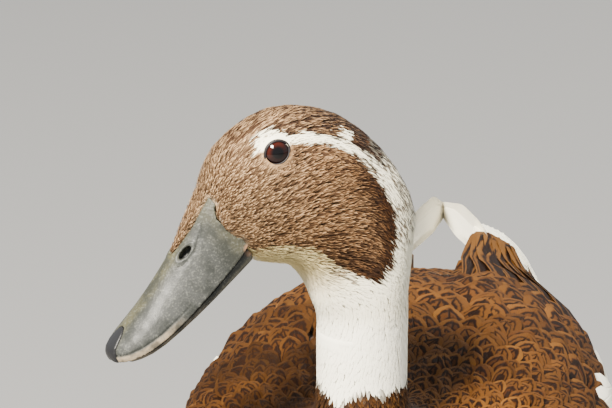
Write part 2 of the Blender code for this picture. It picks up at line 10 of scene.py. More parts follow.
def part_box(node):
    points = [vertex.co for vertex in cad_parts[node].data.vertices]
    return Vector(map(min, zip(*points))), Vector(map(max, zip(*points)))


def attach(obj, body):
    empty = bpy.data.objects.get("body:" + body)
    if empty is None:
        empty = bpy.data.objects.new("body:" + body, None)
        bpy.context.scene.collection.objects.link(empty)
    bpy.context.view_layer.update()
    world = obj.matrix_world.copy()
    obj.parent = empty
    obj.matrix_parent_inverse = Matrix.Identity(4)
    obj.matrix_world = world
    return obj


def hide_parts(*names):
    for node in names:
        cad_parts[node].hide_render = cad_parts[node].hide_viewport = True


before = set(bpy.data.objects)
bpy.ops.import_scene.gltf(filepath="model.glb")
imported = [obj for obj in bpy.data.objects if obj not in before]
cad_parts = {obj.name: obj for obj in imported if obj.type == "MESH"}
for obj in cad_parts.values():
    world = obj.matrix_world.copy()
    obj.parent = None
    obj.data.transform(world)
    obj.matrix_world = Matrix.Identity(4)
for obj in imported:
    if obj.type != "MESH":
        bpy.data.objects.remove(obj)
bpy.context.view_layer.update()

HEAD_TURN, HEAD_BOW, HEAD_TILT = math.radians(54.5), math.radians(33.3), math.radians(8.2)
EYE_SET_BACK, EYE_SET_LOW = 0.0003, 0.0016      # of the eyeballs' centres, from the head's own origin
BODY_FRONT = 0.0496                             # of the breast, ahead of the foot of the neck

HEAD_MATRIX = (
    Matrix.Rotation(-HEAD_TURN, 3, "Z") @ Matrix.Rotation(HEAD_BOW, 3, "X") @ Matrix.Rotation(-HEAD_TILT, 3, "Y")
)
LEFT = np.array(HEAD_MATRIX.col[0])
FORWARD = -np.array(HEAD_MATRIX.col[1])
UP = np.array(HEAD_MATRIX.col[2])


def box_centre(node):
    low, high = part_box(node)
    return (np.array(low) + np.array(high)) / 2


EYE_CENTRES = {side: box_centre("eye_" + side) for side in ("left", "right")}
EYE_RADIUS = (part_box("eye_left")[1][2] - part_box("eye_left")[0][2]) / 2
HEAD_MIDDLE = (EYE_CENTRES["left"] + EYE_CENTRES["right"]) / 2 + EYE_SET_BACK * FORWARD + EYE_SET_LOW * UP
TRUNK_LOW, TRUNK_HIGH = (np.array(c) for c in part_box("trunk"))
BODY_ORIGIN = np.array([(TRUNK_LOW[0] + TRUNK_HIGH[0]) / 2, TRUNK_LOW[1] + BODY_FRONT, 0.0])


def head_place(forward, up, left=0.0):
    return HEAD_MIDDLE + forward * FORWARD + up * UP + left * LEFT


def head_numbers(points):
    """Forward, left and up of points, from midway between the eyes."""
    offset = points - HEAD_MIDDLE
    return offset @ FORWARD, offset @ LEFT, offset @ UP


def smooth(value, low, high):
    """0 below low, 1 above high, and an even curve between."""
    share = np.clip((np.asarray(value, float) - low) / (high - low), 0, 1)
    return share * share * (3 - 2 * share)


def mix(first, second, share):
    share = np.asarray(share, float)[..., None]
    return np.asarray(first, float) * (1 - share) + np.asarray(second, float) * share


def unit(vectors):
    length = np.linalg.norm(vectors, axis=-1, keepdims=True)
    return vectors / np.maximum(length, 1e-12)


# Colours, as linear light ---------------------------------------------------------------------------------

FAWN = (0.285, 0.145, 0.060)
FAWN_PALE = (0.440, 0.285, 0.150)
RUFOUS = (0.038, 0.0130, 0.0028)
DARK = (0.0095, 0.0040, 0.0018)
BROWN = (0.054, 0.0195, 0.0040)
BUFF = (0.142, 0.060, 0.0115)
WHITE = (0.930, 0.890, 0.740)
CREAM = (0.820, 0.720, 0.430)


# Materials ------------------------------------------------------------------------------------------------

class Shader:
    """Small helper that adds and joins nodes of one tree."""

    def __init__(self, tree):
        self.tree = tree

    def node(self, kind, **settings):
        made = self.tree.nodes.new(kind)
        for key, value in settings.items():
            setattr(made, key, value)
        return made

    def link(self, output, socket):
        self.tree.links.new(output, socket)

    def math(self, operation, first, second=None, third=None, clamp=False):
        made = self.node("ShaderNodeMath", operation=operation, use_clamp=clamp)
        for socket, value in zip(made.inputs, (first, second, third)):
            if value is None:
                continue
            if isinstance(value, (int, float)):
                socket.default_value = value
            else:
                self.link(value, socket)
        return made.outputs[0]

    def ramp(self, value, low, high, smooth_ends=True):
        made = self.node("ShaderNodeMapRange", interpolation_type="SMOOTHSTEP" if smooth_ends else "LINEAR")
        self.link(value, made.inputs["Value"])
        made.inputs["From Min"].default_value = low
        made.inputs["From Max"].default_value = high
        return made.outputs["Result"]

    def mix(self, share, first, second, blend="MIX"):
        made = self.node("ShaderNodeMix", data_type="RGBA", blend_type=blend)
        for socket, value in ((made.inputs[0], share), (made.inputs[6], first), (made.inputs[7], second)):
            if isinstance(value, (int, float)):
                socket.default_value = value
            elif isinstance(value, tuple):
                socket.default_value = (*value, 1.0)
            else:
                self.link(value, socket)
        return made.outputs[2]

    def noise(self, place, scale, detail):
        made = self.node("ShaderNodeTexNoise")
        made.inputs["Scale"].default_value = scale
        made.inputs["Detail"].default_value = detail
        self.link(place, made.inputs["Vector"])
        return made.outputs["Fac"]

    def relief(self, height, strength, distance, shader):
        made = self.node("ShaderNodeBump")
        made.inputs["Strength"].default_value = strength
        made.inputs["Distance"].default_value = distance
        self.link(height, made.inputs["Height"])
        self.link(made.outputs["Normal"], shader.inputs["Normal"])


def new_material(name, roughness, **settings):
    made = bpy.data.materials.new(name)
    made.use_nodes = True
    shader = made.node_tree.nodes["Principled BSDF"]
    shader.inputs["Roughness"].default_value = roughness
    for key, value in settings.items():
        shader.inputs[key.replace("_", " ")].default_value = value
    return made, Shader(made.node_tree), shader


def barb_group():
    """Fine slanting barbs on each side of a feather's shaft: a height, and a mask for its colour."""
    tree = bpy.data.node_groups.new("feather barbs", "ShaderNodeTree")
    for name, default in (("Across", 0.0), ("Along", 0.0), ("Count", 30.0), ("Slant", 0.6)):
        socket = tree.interface.new_socket(name, in_out="INPUT", socket_type="NodeSocketFloat")
        socket.default_value = default
    tree.interface.new_socket("Height", in_out="OUTPUT", socket_type="NodeSocketFloat")
    s = Shader(tree)
    inside, outside = s.node("NodeGroupInput"), s.node("NodeGroupOutput")
    away = s.math("ABSOLUTE", inside.outputs["Across"])
    slanted = s.math("SUBTRACT", inside.outputs["Along"], s.math("MULTIPLY", away, inside.outputs["Slant"]))
    wave = s.math("SINE", s.math("MULTIPLY", slanted, s.math("MULTIPLY", inside.outputs["Count"], 6.283)))
    shaft = s.ramp(away, 0.10, 0.0)
    s.link(s.math("ADD", s.math("MULTIPLY", wave, 0.5), s.math("MULTIPLY", shaft, 2.0)), outside.inputs["Height"])
    return tree


BARBS = barb_group()


def feather_material(name, pattern, barbs, bump, roughness=0.62, sheen=0.0):
    """A vane in its own ground colour, with its mark as a streak, as lacing, or hardly at all."""
    made, s, shader = new_material(name, roughness, Sheen_Weight=sheen, Sheen_Roughness=0.5,
                                   Specular_IOR_Level=0.05 if pattern == "laced" else 0.12)
    vane = s.node("ShaderNodeUVMap", uv_map="vane")
    parts = s.node("ShaderNodeSeparateXYZ")
    s.link(vane.outputs["UV"], parts.inputs[0])
    across = s.math("MULTIPLY_ADD", parts.outputs[0], 2.0, -1.0)
    along = parts.outputs[1]
    away = s.math("ABSOLUTE", across)
    ground, mark, edge = (s.node("ShaderNodeAttribute", attribute_name=layer).outputs["Color"]
                          for layer in ("ground", "mark", "edge"))
    chance = s.node("ShaderNodeAttribute", attribute_name="chance").outputs["Fac"]
    place = s.node("ShaderNodeCombineXYZ")
    s.link(across, place.inputs[0])
    s.link(s.math("MULTIPLY", along, 2.5), place.inputs[1])
    s.link(s.math("MULTIPLY", chance, 97.0), place.inputs[2])
    wander = s.math("MULTIPLY_ADD", s.noise(place.outputs[0], 2.2, 3.0), 2.0, -1.0)
    if pattern == "streak":
        # Painted shade: each streaked feather darkens towards its base, where the next feathers overlap it. Towards its
        # tip it pales to its edge colour: partly the feather's own pale edge, partly painted highlight.
        base = s.ramp(along, 0.95, 0.55)
        line = s.math("MULTIPLY", s.ramp(s.math("ADD", away, s.math("MULTIPLY", wander, 0.35)), 0.90, 0.30),
                      s.ramp(chance, 0.30, 0.85))
        colour = s.mix(s.math("MULTIPLY", s.ramp(along, 0.50, 0.90), s.ramp(chance, 0.60, 0.15)), ground, edge)
        colour = s.mix(s.math("MAXIMUM", line, s.math("MULTIPLY", base, 0.80)), colour, mark)
    else:
        tip = s.ramp(along, 0.24, 1.0, False)
        rim = s.math("SQRT", s.math("ADD", s.math("MULTIPLY", away, away), s.math("MULTIPLY", tip, tip)))
        if pattern == "laced":
            rim = s.math("ADD", rim, s.math("MULTIPLY", wander, 0.20))
        size = s.math("MULTIPLY_ADD", chance, 0.16, 0.46)
        inner = s.ramp(s.math("SUBTRACT", rim, size), 0.03, -0.05)
        outer = s.math("MULTIPLY", s.ramp(s.math("SUBTRACT", rim, size), 0.12, 0.20), s.ramp(rim, 0.90, 0.78))
        shaft = s.math("MULTIPLY", s.ramp(away, 0.12, 0.03), s.ramp(along, 0.95, 0.75))
        lines = s.math("MAXIMUM", s.math("MAXIMUM", inner, outer), shaft)
        lines = s.math("MULTIPLY", lines, s.ramp(wander, 0.95, 0.25))
        if pattern == "plain":
            lines = s.math("MULTIPLY", s.ramp(away, 0.08, 0.02), 0.5)
        colour = s.mix(lines, ground, mark)
        border = s.ramp(rim, 0.82, 0.94)
        if pattern == "laced":
            border = s.math("MULTIPLY", border, s.math("MULTIPLY_ADD", s.math("FRACT", s.math(
                "MULTIPLY", chance, 7.0)), 0.70, 0.25))
        colour = s.mix(border, colour, edge)
    group = s.node("ShaderNodeGroup")
    group.node_tree = BARBS
    s.link(across, group.inputs["Across"])
    s.link(along, group.inputs["Along"])
    group.inputs["Count"].default_value = barbs
    tone = 0.10 if pattern != "plain" else 0.03
    s.link(s.mix(s.math("MULTIPLY_ADD", group.outputs["Height"], tone, tone, clamp=True), colour,
                 s.mix(0.5, colour, mark)), shader.inputs["Base Color"])
    s.relief(group.outputs["Height"], bump, 0.0002, shader)
    return made


def painted_material(name, roughness, **settings):
    """A surface whose colour is laid on its own points."""
    made, s, shader = new_material(name, roughness, **settings)
    paint = s.node("ShaderNodeAttribute", attribute_name="paint")
    s.link(paint.outputs["Color"], shader.inputs["Base Color"])
    return made, s, shader, paint.outputs["Color"]


# Meshes ---------------------------------------------------------------------------------------------------

def put(name, data):
    """An object in the scene for a mesh, a light or a camera."""
    made = bpy.data.objects.new(name, data)
    bpy.context.scene.collection.objects.link(made)
    return made


def new_object(name, points, faces, material):
    """A mesh of faces that all have the same number of corners, on the still body."""
    mesh = bpy.data.meshes.new(name)
    points = np.asarray(points, np.float32)
    faces = np.asarray(faces, np.int32)
    mesh.vertices.add(len(points))
    mesh.vertices.foreach_set("co", points.ravel())
    width = faces.shape[1]
    mesh.loops.add(faces.size)
    mesh.loops.foreach_set("vertex_index", faces.ravel())
    mesh.polygons.add(len(faces))
    mesh.polygons.foreach_set("loop_start", np.arange(len(faces), dtype=np.int32) * width)
    mesh.update(calc_edges=True)
    mesh.shade_smooth()
    mesh.materials.append(material)
    made = put(name, mesh)
    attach(made, "root")
    return made


def paint_points(mesh, name, colours):
    layer = mesh.color_attributes.new(name, "FLOAT_COLOR", "POINT")
    rgba = np.ones((len(mesh.vertices), 4), np.float32)
    rgba[:, :3] = colours
    layer.data.foreach_set("color", rgba.ravel())


def number_points(mesh, name, numbers):
    mesh.attributes.new(name, "FLOAT", "POINT").data.foreach_set("value", np.asarray(numbers, np.float32))


def read_vectors(items, name):
    vectors = np.empty(len(items) * 3, np.float32)
    items.foreach_get(name, vectors)
    return vectors.reshape(-1, 3).astype(float)


def mesh_points(mesh):
    return read_vectors(mesh.vertices, "co")


def set_points(mesh, points):
    mesh.vertices.foreach_set("co", points.astype(np.float32).ravel())


def finish(mesh, material):
    """Leaves a mesh with this one material and soft shading."""
    mesh.materials.clear()
    mesh.materials.append(material)
    mesh.shade_smooth()


def mesh_normals(mesh):
    return read_vectors(mesh.vertex_normals, "vector")


def grid_faces(rows, columns):
    """Four-cornered faces between points that stand in rows and columns."""
    grid = np.arange(rows * columns).reshape(rows, columns)
    return np.stack([grid[:-1, :-1], grid[:-1, 1:], grid[1:, 1:], grid[1:, :-1]], -1).reshape(-1, 4)


def fused(name, nodes, grow, voxel, rounds):
    """One closed mesh round copies of some solids, which are grown a little to meet and then shrunk back."""
    whole = bmesh.new()
    for node in nodes:
        part = bmesh.new()
        part.from_mesh(bpy.data.objects[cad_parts[node].name].data)
        bmesh.ops.remove_doubles(part, verts=part.verts, dist=2e-6)
        part.normal_update()
        for vert, offset in [(v, v.normal * grow) for v in part.verts]:
            vert.co += offset
        loose = bpy.data.meshes.new("loose")
        part.to_mesh(loose)
        part.free()
        whole.from_mesh(loose)
        bpy.data.meshes.remove(loose)
    mesh = bpy.data.meshes.new(name)
    whole.to_mesh(mesh)
    whole.free()
    carrier = put(name, mesh)
    remesh = carrier.modifiers.new("remesh", "REMESH")
    remesh.mode = "VOXEL"
    remesh.voxel_size = voxel
    soften = carrier.modifiers.new("soften", "SMOOTH")
    soften.factor = 0.5
    soften.iterations = rounds
    graph = bpy.context.evaluated_depsgraph_get()
    made = bpy.data.meshes.new_from_object(carrier.evaluated_get(graph))
    bpy.data.objects.remove(carrier)
    bpy.data.meshes.remove(mesh)
    made.name = name
    set_points(made, mesh_points(made) - mesh_normals(made) * grow)
    made.update()
    return made


class Surface:
    """A closed mesh, or the parts of some, that places can be laid on."""

    def __init__(self, *parts):
        points, normals, faces, count = [], [], [], 0
        for mesh, wanted in parts:
            mesh.calc_loop_triangles()
            places = mesh_points(mesh)
            corners = np.empty(len(mesh.loop_triangles) * 3, np.int32)
            mesh.loop_triangles.foreach_get("vertices", corners)
            corners = corners.reshape(-1, 3)
            faces.append(corners[wanted(places[corners].mean(1))] + count)
            points.append(places)
            normals.append(mesh_normals(mesh))
            count += len(places)
        self.points, self.normals, self.faces = np.vstack(points), np.vstack(normals), np.vstack(faces)
        self.tree = BVHTree.FromPolygons(self.points.tolist(), self.faces.tolist())

    def distance(self, points):
        find = self.tree.find_nearest
        return np.array([find(p)[3] for p in points.tolist()])

    def nearest(self, points):
        """The nearest place on the surface to each point, and its smooth normal."""
        find = self.tree.find_nearest
        hits = [find(p) for p in points.tolist()]
        places = np.array([h[0][:] for h in hits])
        a, b, c = (self.faces[[h[2] for h in hits]].T)
        first, second, third = self.points[a], self.points[b], self.points[c]
        side_a, side_b, side_c = second - first, third - first, places - first
        aa, ab, bb = (side_a * side_a).sum(1), (side_a * side_b).sum(1), (side_b * side_b).sum(1)
        ca, cb = (side_c * side_a).sum(1), (side_c * side_b).sum(1)
        area = np.maximum(aa * bb - ab * ab, 1e-30)
        v = np.clip((bb * ca - ab * cb) / area, 0, 1)[:, None]
        w = np.clip((aa * cb - ab * ca) / area, 0, 1)[:, None]
        normals = self.normals[a] * (1 - v - w) + self.normals[b] * v + self.normals[c] * w
        return places, unit(normals)


# The outer form and the skin under it ---------------------------------------------------------------------

FLESH = ("head", "neck", "trunk", "tail", "wing_left", "wing_right", "thigh_left", "thigh_right")
EYES = ("eye_left", "eye_right")
NECK_FINE = (0.228, 0.234)                      # heights between which the fine and the coarse form both serve


def upper_part(points):
    return (points[:, 2] > NECK_FINE[0]) & (points[:, 1] < BODY_ORIGIN[1] + 0.05)


def lower_part(points):
    return (points[:, 2] < NECK_FINE[1]) | (points[:, 1] > BODY_ORIGIN[1] + 0.05)


def every_part(points):
    return np.ones(len(points), bool)


def soften_near(mesh, centre, reach, rounds):
    """Evens out the surface near a place, more the nearer it is."""
    points = mesh_points(mesh)
    pairs = np.empty(len(mesh.edges) * 2, np.int32)
    mesh.edges.foreach_get("vertices", pairs)
    first, second = pairs.reshape(-1, 2).T
    count = len(points)
    share = smooth(np.linalg.norm(points - centre, axis=1), reach, 0.4 * reach)[:, None]
    ties = np.maximum(np.bincount(first, minlength=count) + np.bincount(second, minlength=count), 1)
    for _ in range(rounds):
        total = np.stack([np.bincount(first, points[second, k], count) + np.bincount(second, points[first, k], count)
                          for k in range(3)], 1)
        points += 0.6 * share * (total / ties[:, None] - points)
    set_points(mesh, points)
    mesh.update()


coarse_mesh = fused("form", FLESH + EYES, 0.0008, 0.0017, 6)
fine_mesh = fused("head_form", ("head", "neck") + EYES, 0.0005, 0.0008, 5)
for forward, up, left, reach in ((0.0190, -0.0630, -0.0020, 0.024), (-0.0205, -0.0600, 0.0140, 0.016)):
    soften_near(fine_mesh, head_place(forward, up, left), reach, 120)
form = Surface((fine_mesh, upper_part), (coarse_mesh, lower_part))
WING_FORM, TRUNK_FORM = (
    Surface((fused("loose_form", nodes, 0.0, 0.0020, 1), every_part))
    for nodes in (("wing_left", "wing_right"), ("trunk", "tail"))
)
bill_mesh = fused("bill_form", ("bill_upper", "bill_lower"), 0.0, 0.0006, 1)
bill = Surface((bill_mesh, every_part))

SPINE = np.array([
    (0.0, 0.0, 0.262), (0.0, 0.0, 0.236), (0.0, 0.002, 0.212), (0.0, 0.013, 0.190), (0.0, 0.036, 0.169),
    (0.0, 0.076, 0.152), (0.0, 0.125, 0.145), (0.0, 0.176, 0.145), (0.0, 0.226, 0.146), (0.0, 0.276, 0.146),
    (0.0, 0.350, 0.126),
]) + BODY_ORIGIN
FACE_LIE = (                                    # how far back and down the head, and the turn of the lie
    (-0.010, 0), (0.000, 4), (0.010, 15), (0.024, 41), (0.0315, 78), (0.045, 112), (0.060, 123), (0.090, 123),
)


WING_TIP = (0.006, 0.305, 0.176)                # out, back and up: where the feathers of a folded wing point


def lie(points, normals):
    """The way that feathers lie at places on the surface: along the neck and body, or round the face."""
    middles = (SPINE[1:] + SPINE[:-1]) / 2
    courses = unit(SPINE[1:] - SPINE[:-1])
    apart = ((points[:, None, :] - middles[None]) ** 2).sum(2)
    weights = np.exp(-(apart - apart.min(1, keepdims=True)) / (2 * 0.030 ** 2))
    body = unit(weights @ courses)
    forward, _, up = head_numbers(points)
    back_and_down = -0.5 * forward - 0.5 * up
    turn = np.radians(np.interp(back_and_down, *zip(*FACE_LIE)))
    apart, run = from_path(forward, up, EYE_LINE)
    steps = np.diff(EYE_LINE, axis=0)
    along_line = np.interp(run, np.arange(len(steps)) + 0.5, np.unwrap(np.arctan2(-steps[:, 1], -steps[:, 0])))
    pull = np.exp(-(apart / 0.0065) ** 2)
    turn = turn * (1 - pull) + along_line * pull
    head = np.outer(-np.cos(turn), FORWARD) + np.outer(-np.sin(turn), UP)
    neck = smooth(points[:, 2], 0.262, 0.238)
    neck = np.where(points[:, 1] > BODY_ORIGIN[1] + 0.05, 1.0, neck)
    way = unit(head * (1 - neck[:, None]) + body * neck[:, None])
    away = points - BODY_ORIGIN
    wing = smooth(np.abs(away[:, 0]), 0.030, 0.060) * smooth(away[:, 1], 0.03, 0.09) * smooth(away[:, 2], 0.11, 0.13)
    way[:, 0] -= np.sign(away[:, 0]) * 0.16 * wing
    ones = np.ones(len(away))
    tip = BODY_ORIGIN + np.stack([WING_TIP[0] * np.sign(away[:, 0]), WING_TIP[1] * ones, WING_TIP[2] * ones], 1)
    folded = wing * smooth(away[:, 1], 0.10, 0.21) + smooth(np.abs(away[:, 0]), 0.016, 0.030) * smooth(
        away[:, 1], 0.20, 0.23) * smooth(away[:, 2], 0.135, 0.150)
    folded = np.clip(folded, 0, 1)[:, None]
    way = unit(way * (1 - folded) + unit(tip - points) * folded)
    thigh = (smooth(away[:, 2], 0.098, 0.082) * smooth(np.abs(away[:, 0]), 0.012, 0.020))[:, None]
    way = unit(way * (1 - thigh) + np.array([0.0, 0.20, -0.98]) * thigh)
    way -= normals * (way * normals).sum(1, keepdims=True)
    return unit(way)


LOOK_FORWARD, LOOK_UP = 0.13, 0.16              # of each eye's axis, against straight out to the side


def eye_axes(sign):
    out = unit(sign * LEFT + LOOK_FORWARD * FORWARD + LOOK_UP * UP)
    ahead = unit(FORWARD - out * (FORWARD @ out))
    return out, ahead, np.cross(out, ahead) * sign


def from_eye(points):
    """How far points are from the axis of the nearer eye, and the way to that axis."""
    best, ways = None, None
    for side, sign in (("left", 1), ("right", -1)):
        out, _, _ = eye_axes(sign)
        offset = EYE_CENTRES[side] - points
        flat = offset - (offset @ out)[:, None] * out
        apart = np.linalg.norm(flat, axis=1) + np.where((-offset) @ out > 0.0, 0.0, 1.0)
        if best is None:
            best, ways = apart, flat
        else:
            ways = np.where((apart < best)[:, None], flat, ways)
            best = np.minimum(apart, best)
    return best, unit(ways)


# Markings -------------------------------------------------------------------------------------------------

EYE_RIM = 0.0050                                # from an eye's axis to the feathers
COLLAR = 0.2130                                 # height where the white neck ends
# Where a folded wing turns white: places behind the neck, and the angle from the top of the back there.
WING_WHITE = (0.03, 0.06, 0.10, 0.14, 0.18, 0.215, 0.238, 0.262), (118, 98, 80, 75, 73, 72, 62, 45)
CHEEK = np.array([
    (0.0320, -0.0220), (0.0258, -0.0268), (0.0177, -0.0312), (0.0112, -0.0372), (0.0090, -0.0430),
    (0.0050, -0.0553), (-0.0017, -0.0660), (-0.0092, -0.0646), (-0.0165, -0.0583), (-0.0222, -0.0487),
    (-0.0240, -0.0383), (-0.0236, -0.0232), (-0.0170, -0.0108), (-0.0070, -0.0022), (0.0020, 0.0060),
    (0.0200, 0.0120), (0.0520, 0.0100), (0.0520, -0.0220),
])
EYE_LINE = np.array([(-0.0010, 0.0030), (-0.0071, 0.0000), (-0.0128, -0.0036), (-0.0171, -0.0084),
                     (-0.0208, -0.0139), (-0.0243, -0.0209), (-0.0268, -0.0294), (-0.0274, -0.0382),
                     (-0.0258, -0.0474)])
EYE_LINE_WIDTH = ((0, 1, 2, 4, 6, 8), (0.0007, 0.0007, 0.0006, 0.0006, 0.0010, 0.0018))    # half widths along it


def from_path(forward, up, path):
    """How far each place is from a path, and how far along it."""
    places = np.stack([forward, up], 1)
    best = np.full(len(places), 1e9)
    run = np.zeros(len(places))
    for k, (start, end) in enumerate(zip(path, path[1:])):
        course = end - start
        share = np.clip(((places - start) @ course) / (course @ course), 0, 1)
        apart = np.linalg.norm(places - (start + share[:, None] * course), axis=1)
        closer = apart < best
        best = np.where(closer, apart, best)
        run = np.where(closer, k + share, run)
    return best, run


def inside(forward, up, outline):
    """Signed distance to a closed outline, more than 0 inside it."""
    apart, _ = from_path(forward, up, np.vstack([outline, outline[:1]]))
    crossed = np.zeros(len(forward), bool)
    for (x0, y0), (x1, y1) in zip(outline, np.vstack([outline[1:], outline[:1]])):
        level = (y0 > up) != (y1 > up)
        at = x0 + (up - y0) * (x1 - x0) / ((y1 - y0) if y1 != y0 else 1e-12)
        crossed ^= level & (forward < at)
    return np.where(crossed, apart, -apart)


STRAND = (0.00048, 0.00052, 0.0040)             # size of a strand: across the face, across the crown, along
STRAND_TABLE = np.random.default_rng(5).random((32, 32, 32))


def grain(cells):
    """Chance values that change smoothly from cell to cell."""
    low = np.floor(cells).astype(int)
    share = cells - low
    share = share * share * (3 - 2 * share)
    total = np.zeros(len(cells))
    for corner in np.ndindex(2, 2, 2):
        step = np.array(corner)
        weight = np.where(step == 1, share, 1 - share).prod(1)
        total += weight * STRAND_TABLE[tuple(((low + step) % 32).T)]
    return total


def strand_field(forward, left, up):
    """Chance values that run in strands along the lie of the face's feathers."""
    back = -0.5 * forward - 0.5 * up
    run = np.linspace(-0.06, 0.10, 161)
    turn = np.radians(np.interp(run, *zip(*FACE_LIE)))
    drift = (np.cos(turn) - np.sin(turn)) / np.maximum(np.cos(turn) + np.sin(turn), 0.3)
    shift = np.cumsum(drift) * (run[1] - run[0]) * math.sqrt(2)
    across = (up - forward) / math.sqrt(2) - np.interp(back, run, shift)
    value = grain(np.stack([across / STRAND[0], left / STRAND[1], back * math.sqrt(2) / STRAND[2]], 1) + 500.0)
    return 0.5 + (value - 0.5) * smooth(back, 0.058, 0.046)


def head_marking(points, chance):
    """Ground, mark and edge colours of the head and neck."""
    forward, left, up = head_numbers(points)
    side = np.abs(left)
    back = -0.5 * forward - 0.5 * up
    within = inside(forward, up, CHEEK)
    cheek = smooth(within + 0.0014 * (chance - 0.5), -0.0004, 0.0006)
    line, run = from_path(forward, up, EYE_LINE)
    line = line + 0.0014 * (chance - 0.5)
    width = np.interp(run, *EYE_LINE_WIDTH)
    stripe = smooth(line, width + 0.0006, width - 0.0003) * smooth(side, 0.007, 0.0095)
    patch = np.hypot((forward + 0.0004) / 1.20, up - 0.0014) + 0.0014 * (chance - 0.5)
    patch = smooth(patch, 0.0056, 0.0048) * smooth(up - 0.50 * forward, -0.0004, 0.0010) * smooth(side, 0.005, 0.0075)
    patch = patch * np.where((chance > 0.84) & (up > 0.0020), 0.35, 1.0)
    stripe = np.maximum(stripe, patch)
    level = np.interp(forward, EYE_LINE[6::-1, 0], EYE_LINE[6::-1, 1])
    crown = ((up > level) | (forward < -0.0245)) & (up > -0.033 + 0.004 * (chance - 0.5)) & (forward > -0.040)
    crown |= (forward > 0.0) & (up > 0.0)
    spot = np.hypot(forward + 0.0253, (up + 0.0148) / 1.3) < 0.0021 + 0.0012 * (chance - 0.5)
    brown = np.maximum(cheek, crown * (1 - spot * 0.9))
    brown = np.where((up < -0.012) & (side < 0.0075) & (forward > -0.015) & (forward < 0.030), 0.0, brown)
    brown = brown * (1 - stripe)
    apart = np.where(run > 4.5, line, 1.0)
    flecks = (up < -0.024) & (up > -0.064) & (cheek < 0.1) & (forward < -0.016)
    often = 0.10 + 0.40 * smooth(apart, 0.0010, 0.0030) * smooth(up, -0.064, -0.052)
    brown = np.where(flecks & ((chance * 7.3) % 1 < often), 0.9, brown)
    jaw = (within > -0.0030) & (within < 0) & (forward > 0.004) & (up < -0.015) & ((chance * 5.1) % 1 < 0.32)
    brown = np.where(jaw, 0.8, brown)
    eye, _ = from_eye(points)
    ring = smooth(eye, 0.0063, 0.0054) * np.where(up > 0.5 * forward, 0.60, 0.18)
    pale = smooth(back, 0.016, -0.010)
    rufous = smooth(back, 0.008, 0.032) * smooth(within, 0.022, 0.002)
    rear_crown = crown * smooth(back, 0.000, 0.014)
    ground = mix(mix(FAWN, FAWN_PALE, pale * 0.80), RUFOUS, np.clip(rufous * 0.95 + 0.55 * rear_crown, 0, 1))
    ground = mix(ground, FAWN_PALE, 0.25 * crown * (1 - rear_crown))
    ground = mix(ground, FAWN_PALE, ring)
    dark = mix(DARK, (0.062, 0.030, 0.014), np.maximum(pale * 0.7, 0.35 * (1 - rufous) * (1 - crown)))
    field = strand_field(forward, left, up)
    top = crown & ~(cheek > 0.5)
    strand = smooth(0.78 * field + 0.22 * chance + 0.05 * top, 0.50, 0.60) * (1 - ring)
    ground = mix(ground, FAWN_PALE, 0.45 * smooth(field, 0.44, 0.30) * (1 - rufous) * (1 - 0.6 * rear_crown))
    ground = mix(ground, dark, strand * np.where(top, 0.96, 0.70))
    dark = mix(dark, ground, ring)
    border = smooth(bill.distance(points), 0.0014, 0.0005) * smooth(side, 0.002, 0.005)
    ground = mix(ground, (0.560, 0.430, 0.290), 0.75 * border)
    dark = mix(dark, FAWN_PALE, 0.6 * border)
    # Under the chin the white turns a darker, yellower cream: partly the throat's own cream, partly painted shade under
    # the bill and head.
    under = smooth(forward, -0.004, 0.008) * smooth(up, -0.014, -0.026) * smooth(up, -0.066, -0.044)
    white = mix(mix(WHITE, CREAM, 0.25), (0.520, 0.400, 0.150), 0.85 * under)
    return (mix(white, ground, brown), mix(white * 0.96, dark, brown),
            mix(white, mix(ground * 1.4, FAWN_PALE, 0.45 * (1 - rufous)), brown))


def body_marking(points, chance):
    """Ground, mark and edge colours of the body, wings and tail."""
    place = points - BODY_ORIGIN
    along, height, out = place[:, 1], place[:, 2], np.abs(place[:, 0])
    wander = 0.010 * (chance - 0.5)
    line = np.interp(along, (-0.05, 0.03, 0.07, 0.11, 0.16, 0.21, 0.25, 0.30, 0.36),
                     (0.102, 0.110, 0.124, 0.138, 0.142, 0.138, 0.130, 0.118, 0.090))
    brown = smooth(height + wander, line - 0.002, line + 0.002)
    neck = (along < 0.045) & (height > 0.17)
    collar = COLLAR - 0.0040 * np.exp(-((place[:, 0] + 0.0095) / 0.0045) ** 2) * (along < 0.0)
    brown = np.where(neck, smooth(height + wander * 0.25, collar + 0.0012, collar - 0.0012), brown)
    turn = np.degrees(np.arctan2(out, height - 0.150))
    reach = np.hypot(out, height - 0.150)
    on_wing = reach > np.interp(along, (0.0, 0.1, 0.19, 0.21, 0.24, 0.27), (0.055, 0.070, 0.050, 0.036, 0.034, 0.034))
    on_wing &= (along > 0.03) & (along < 0.285) & (turn < 122) & (turn > 14)
    white_wing = on_wing & (turn + 7 * (chance - 0.5) > np.interp(along, *WING_WHITE))
    brown = np.where(white_wing, 0.0, brown)
    ground = mix(BROWN, BUFF, 0.25 * smooth(along, 0.05, -0.04) + 0.25 * smooth(along, 0.24, 0.33)
                 + 0.5 * (chance - 0.4))
    edge = mix(BUFF, BROWN, np.clip(0.2 + 0.7 * chance, 0, 1))
    white = mix(WHITE, CREAM, 0.25 * smooth(height, 0.12, 0.09))
    cloudy = (np.sin(along * 210 + place[:, 0] * 90) * np.sin(place[:, 0] * 240 - along * 60)
              + np.sin(height * 170 + along * 120 + 2.0)) * 0.5
    # Painted shadow of the head and bill on the front of the back, left of the neck; cloudy is the feathers' own uneven
    # tone.
    shade = smooth(height, 0.150, 0.185) * smooth(place[:, 0], 0.010, -0.030) * smooth(along, 0.16, 0.06)
    tone_and_head_shadow = (1 + 0.28 * cloudy - 0.55 * shade)[:, None]
    return mix(white, ground * tone_and_head_shadow, brown), mix(white * 0.97, DARK, brown), mix(white, edge * tone_and_head_shadow, brown)


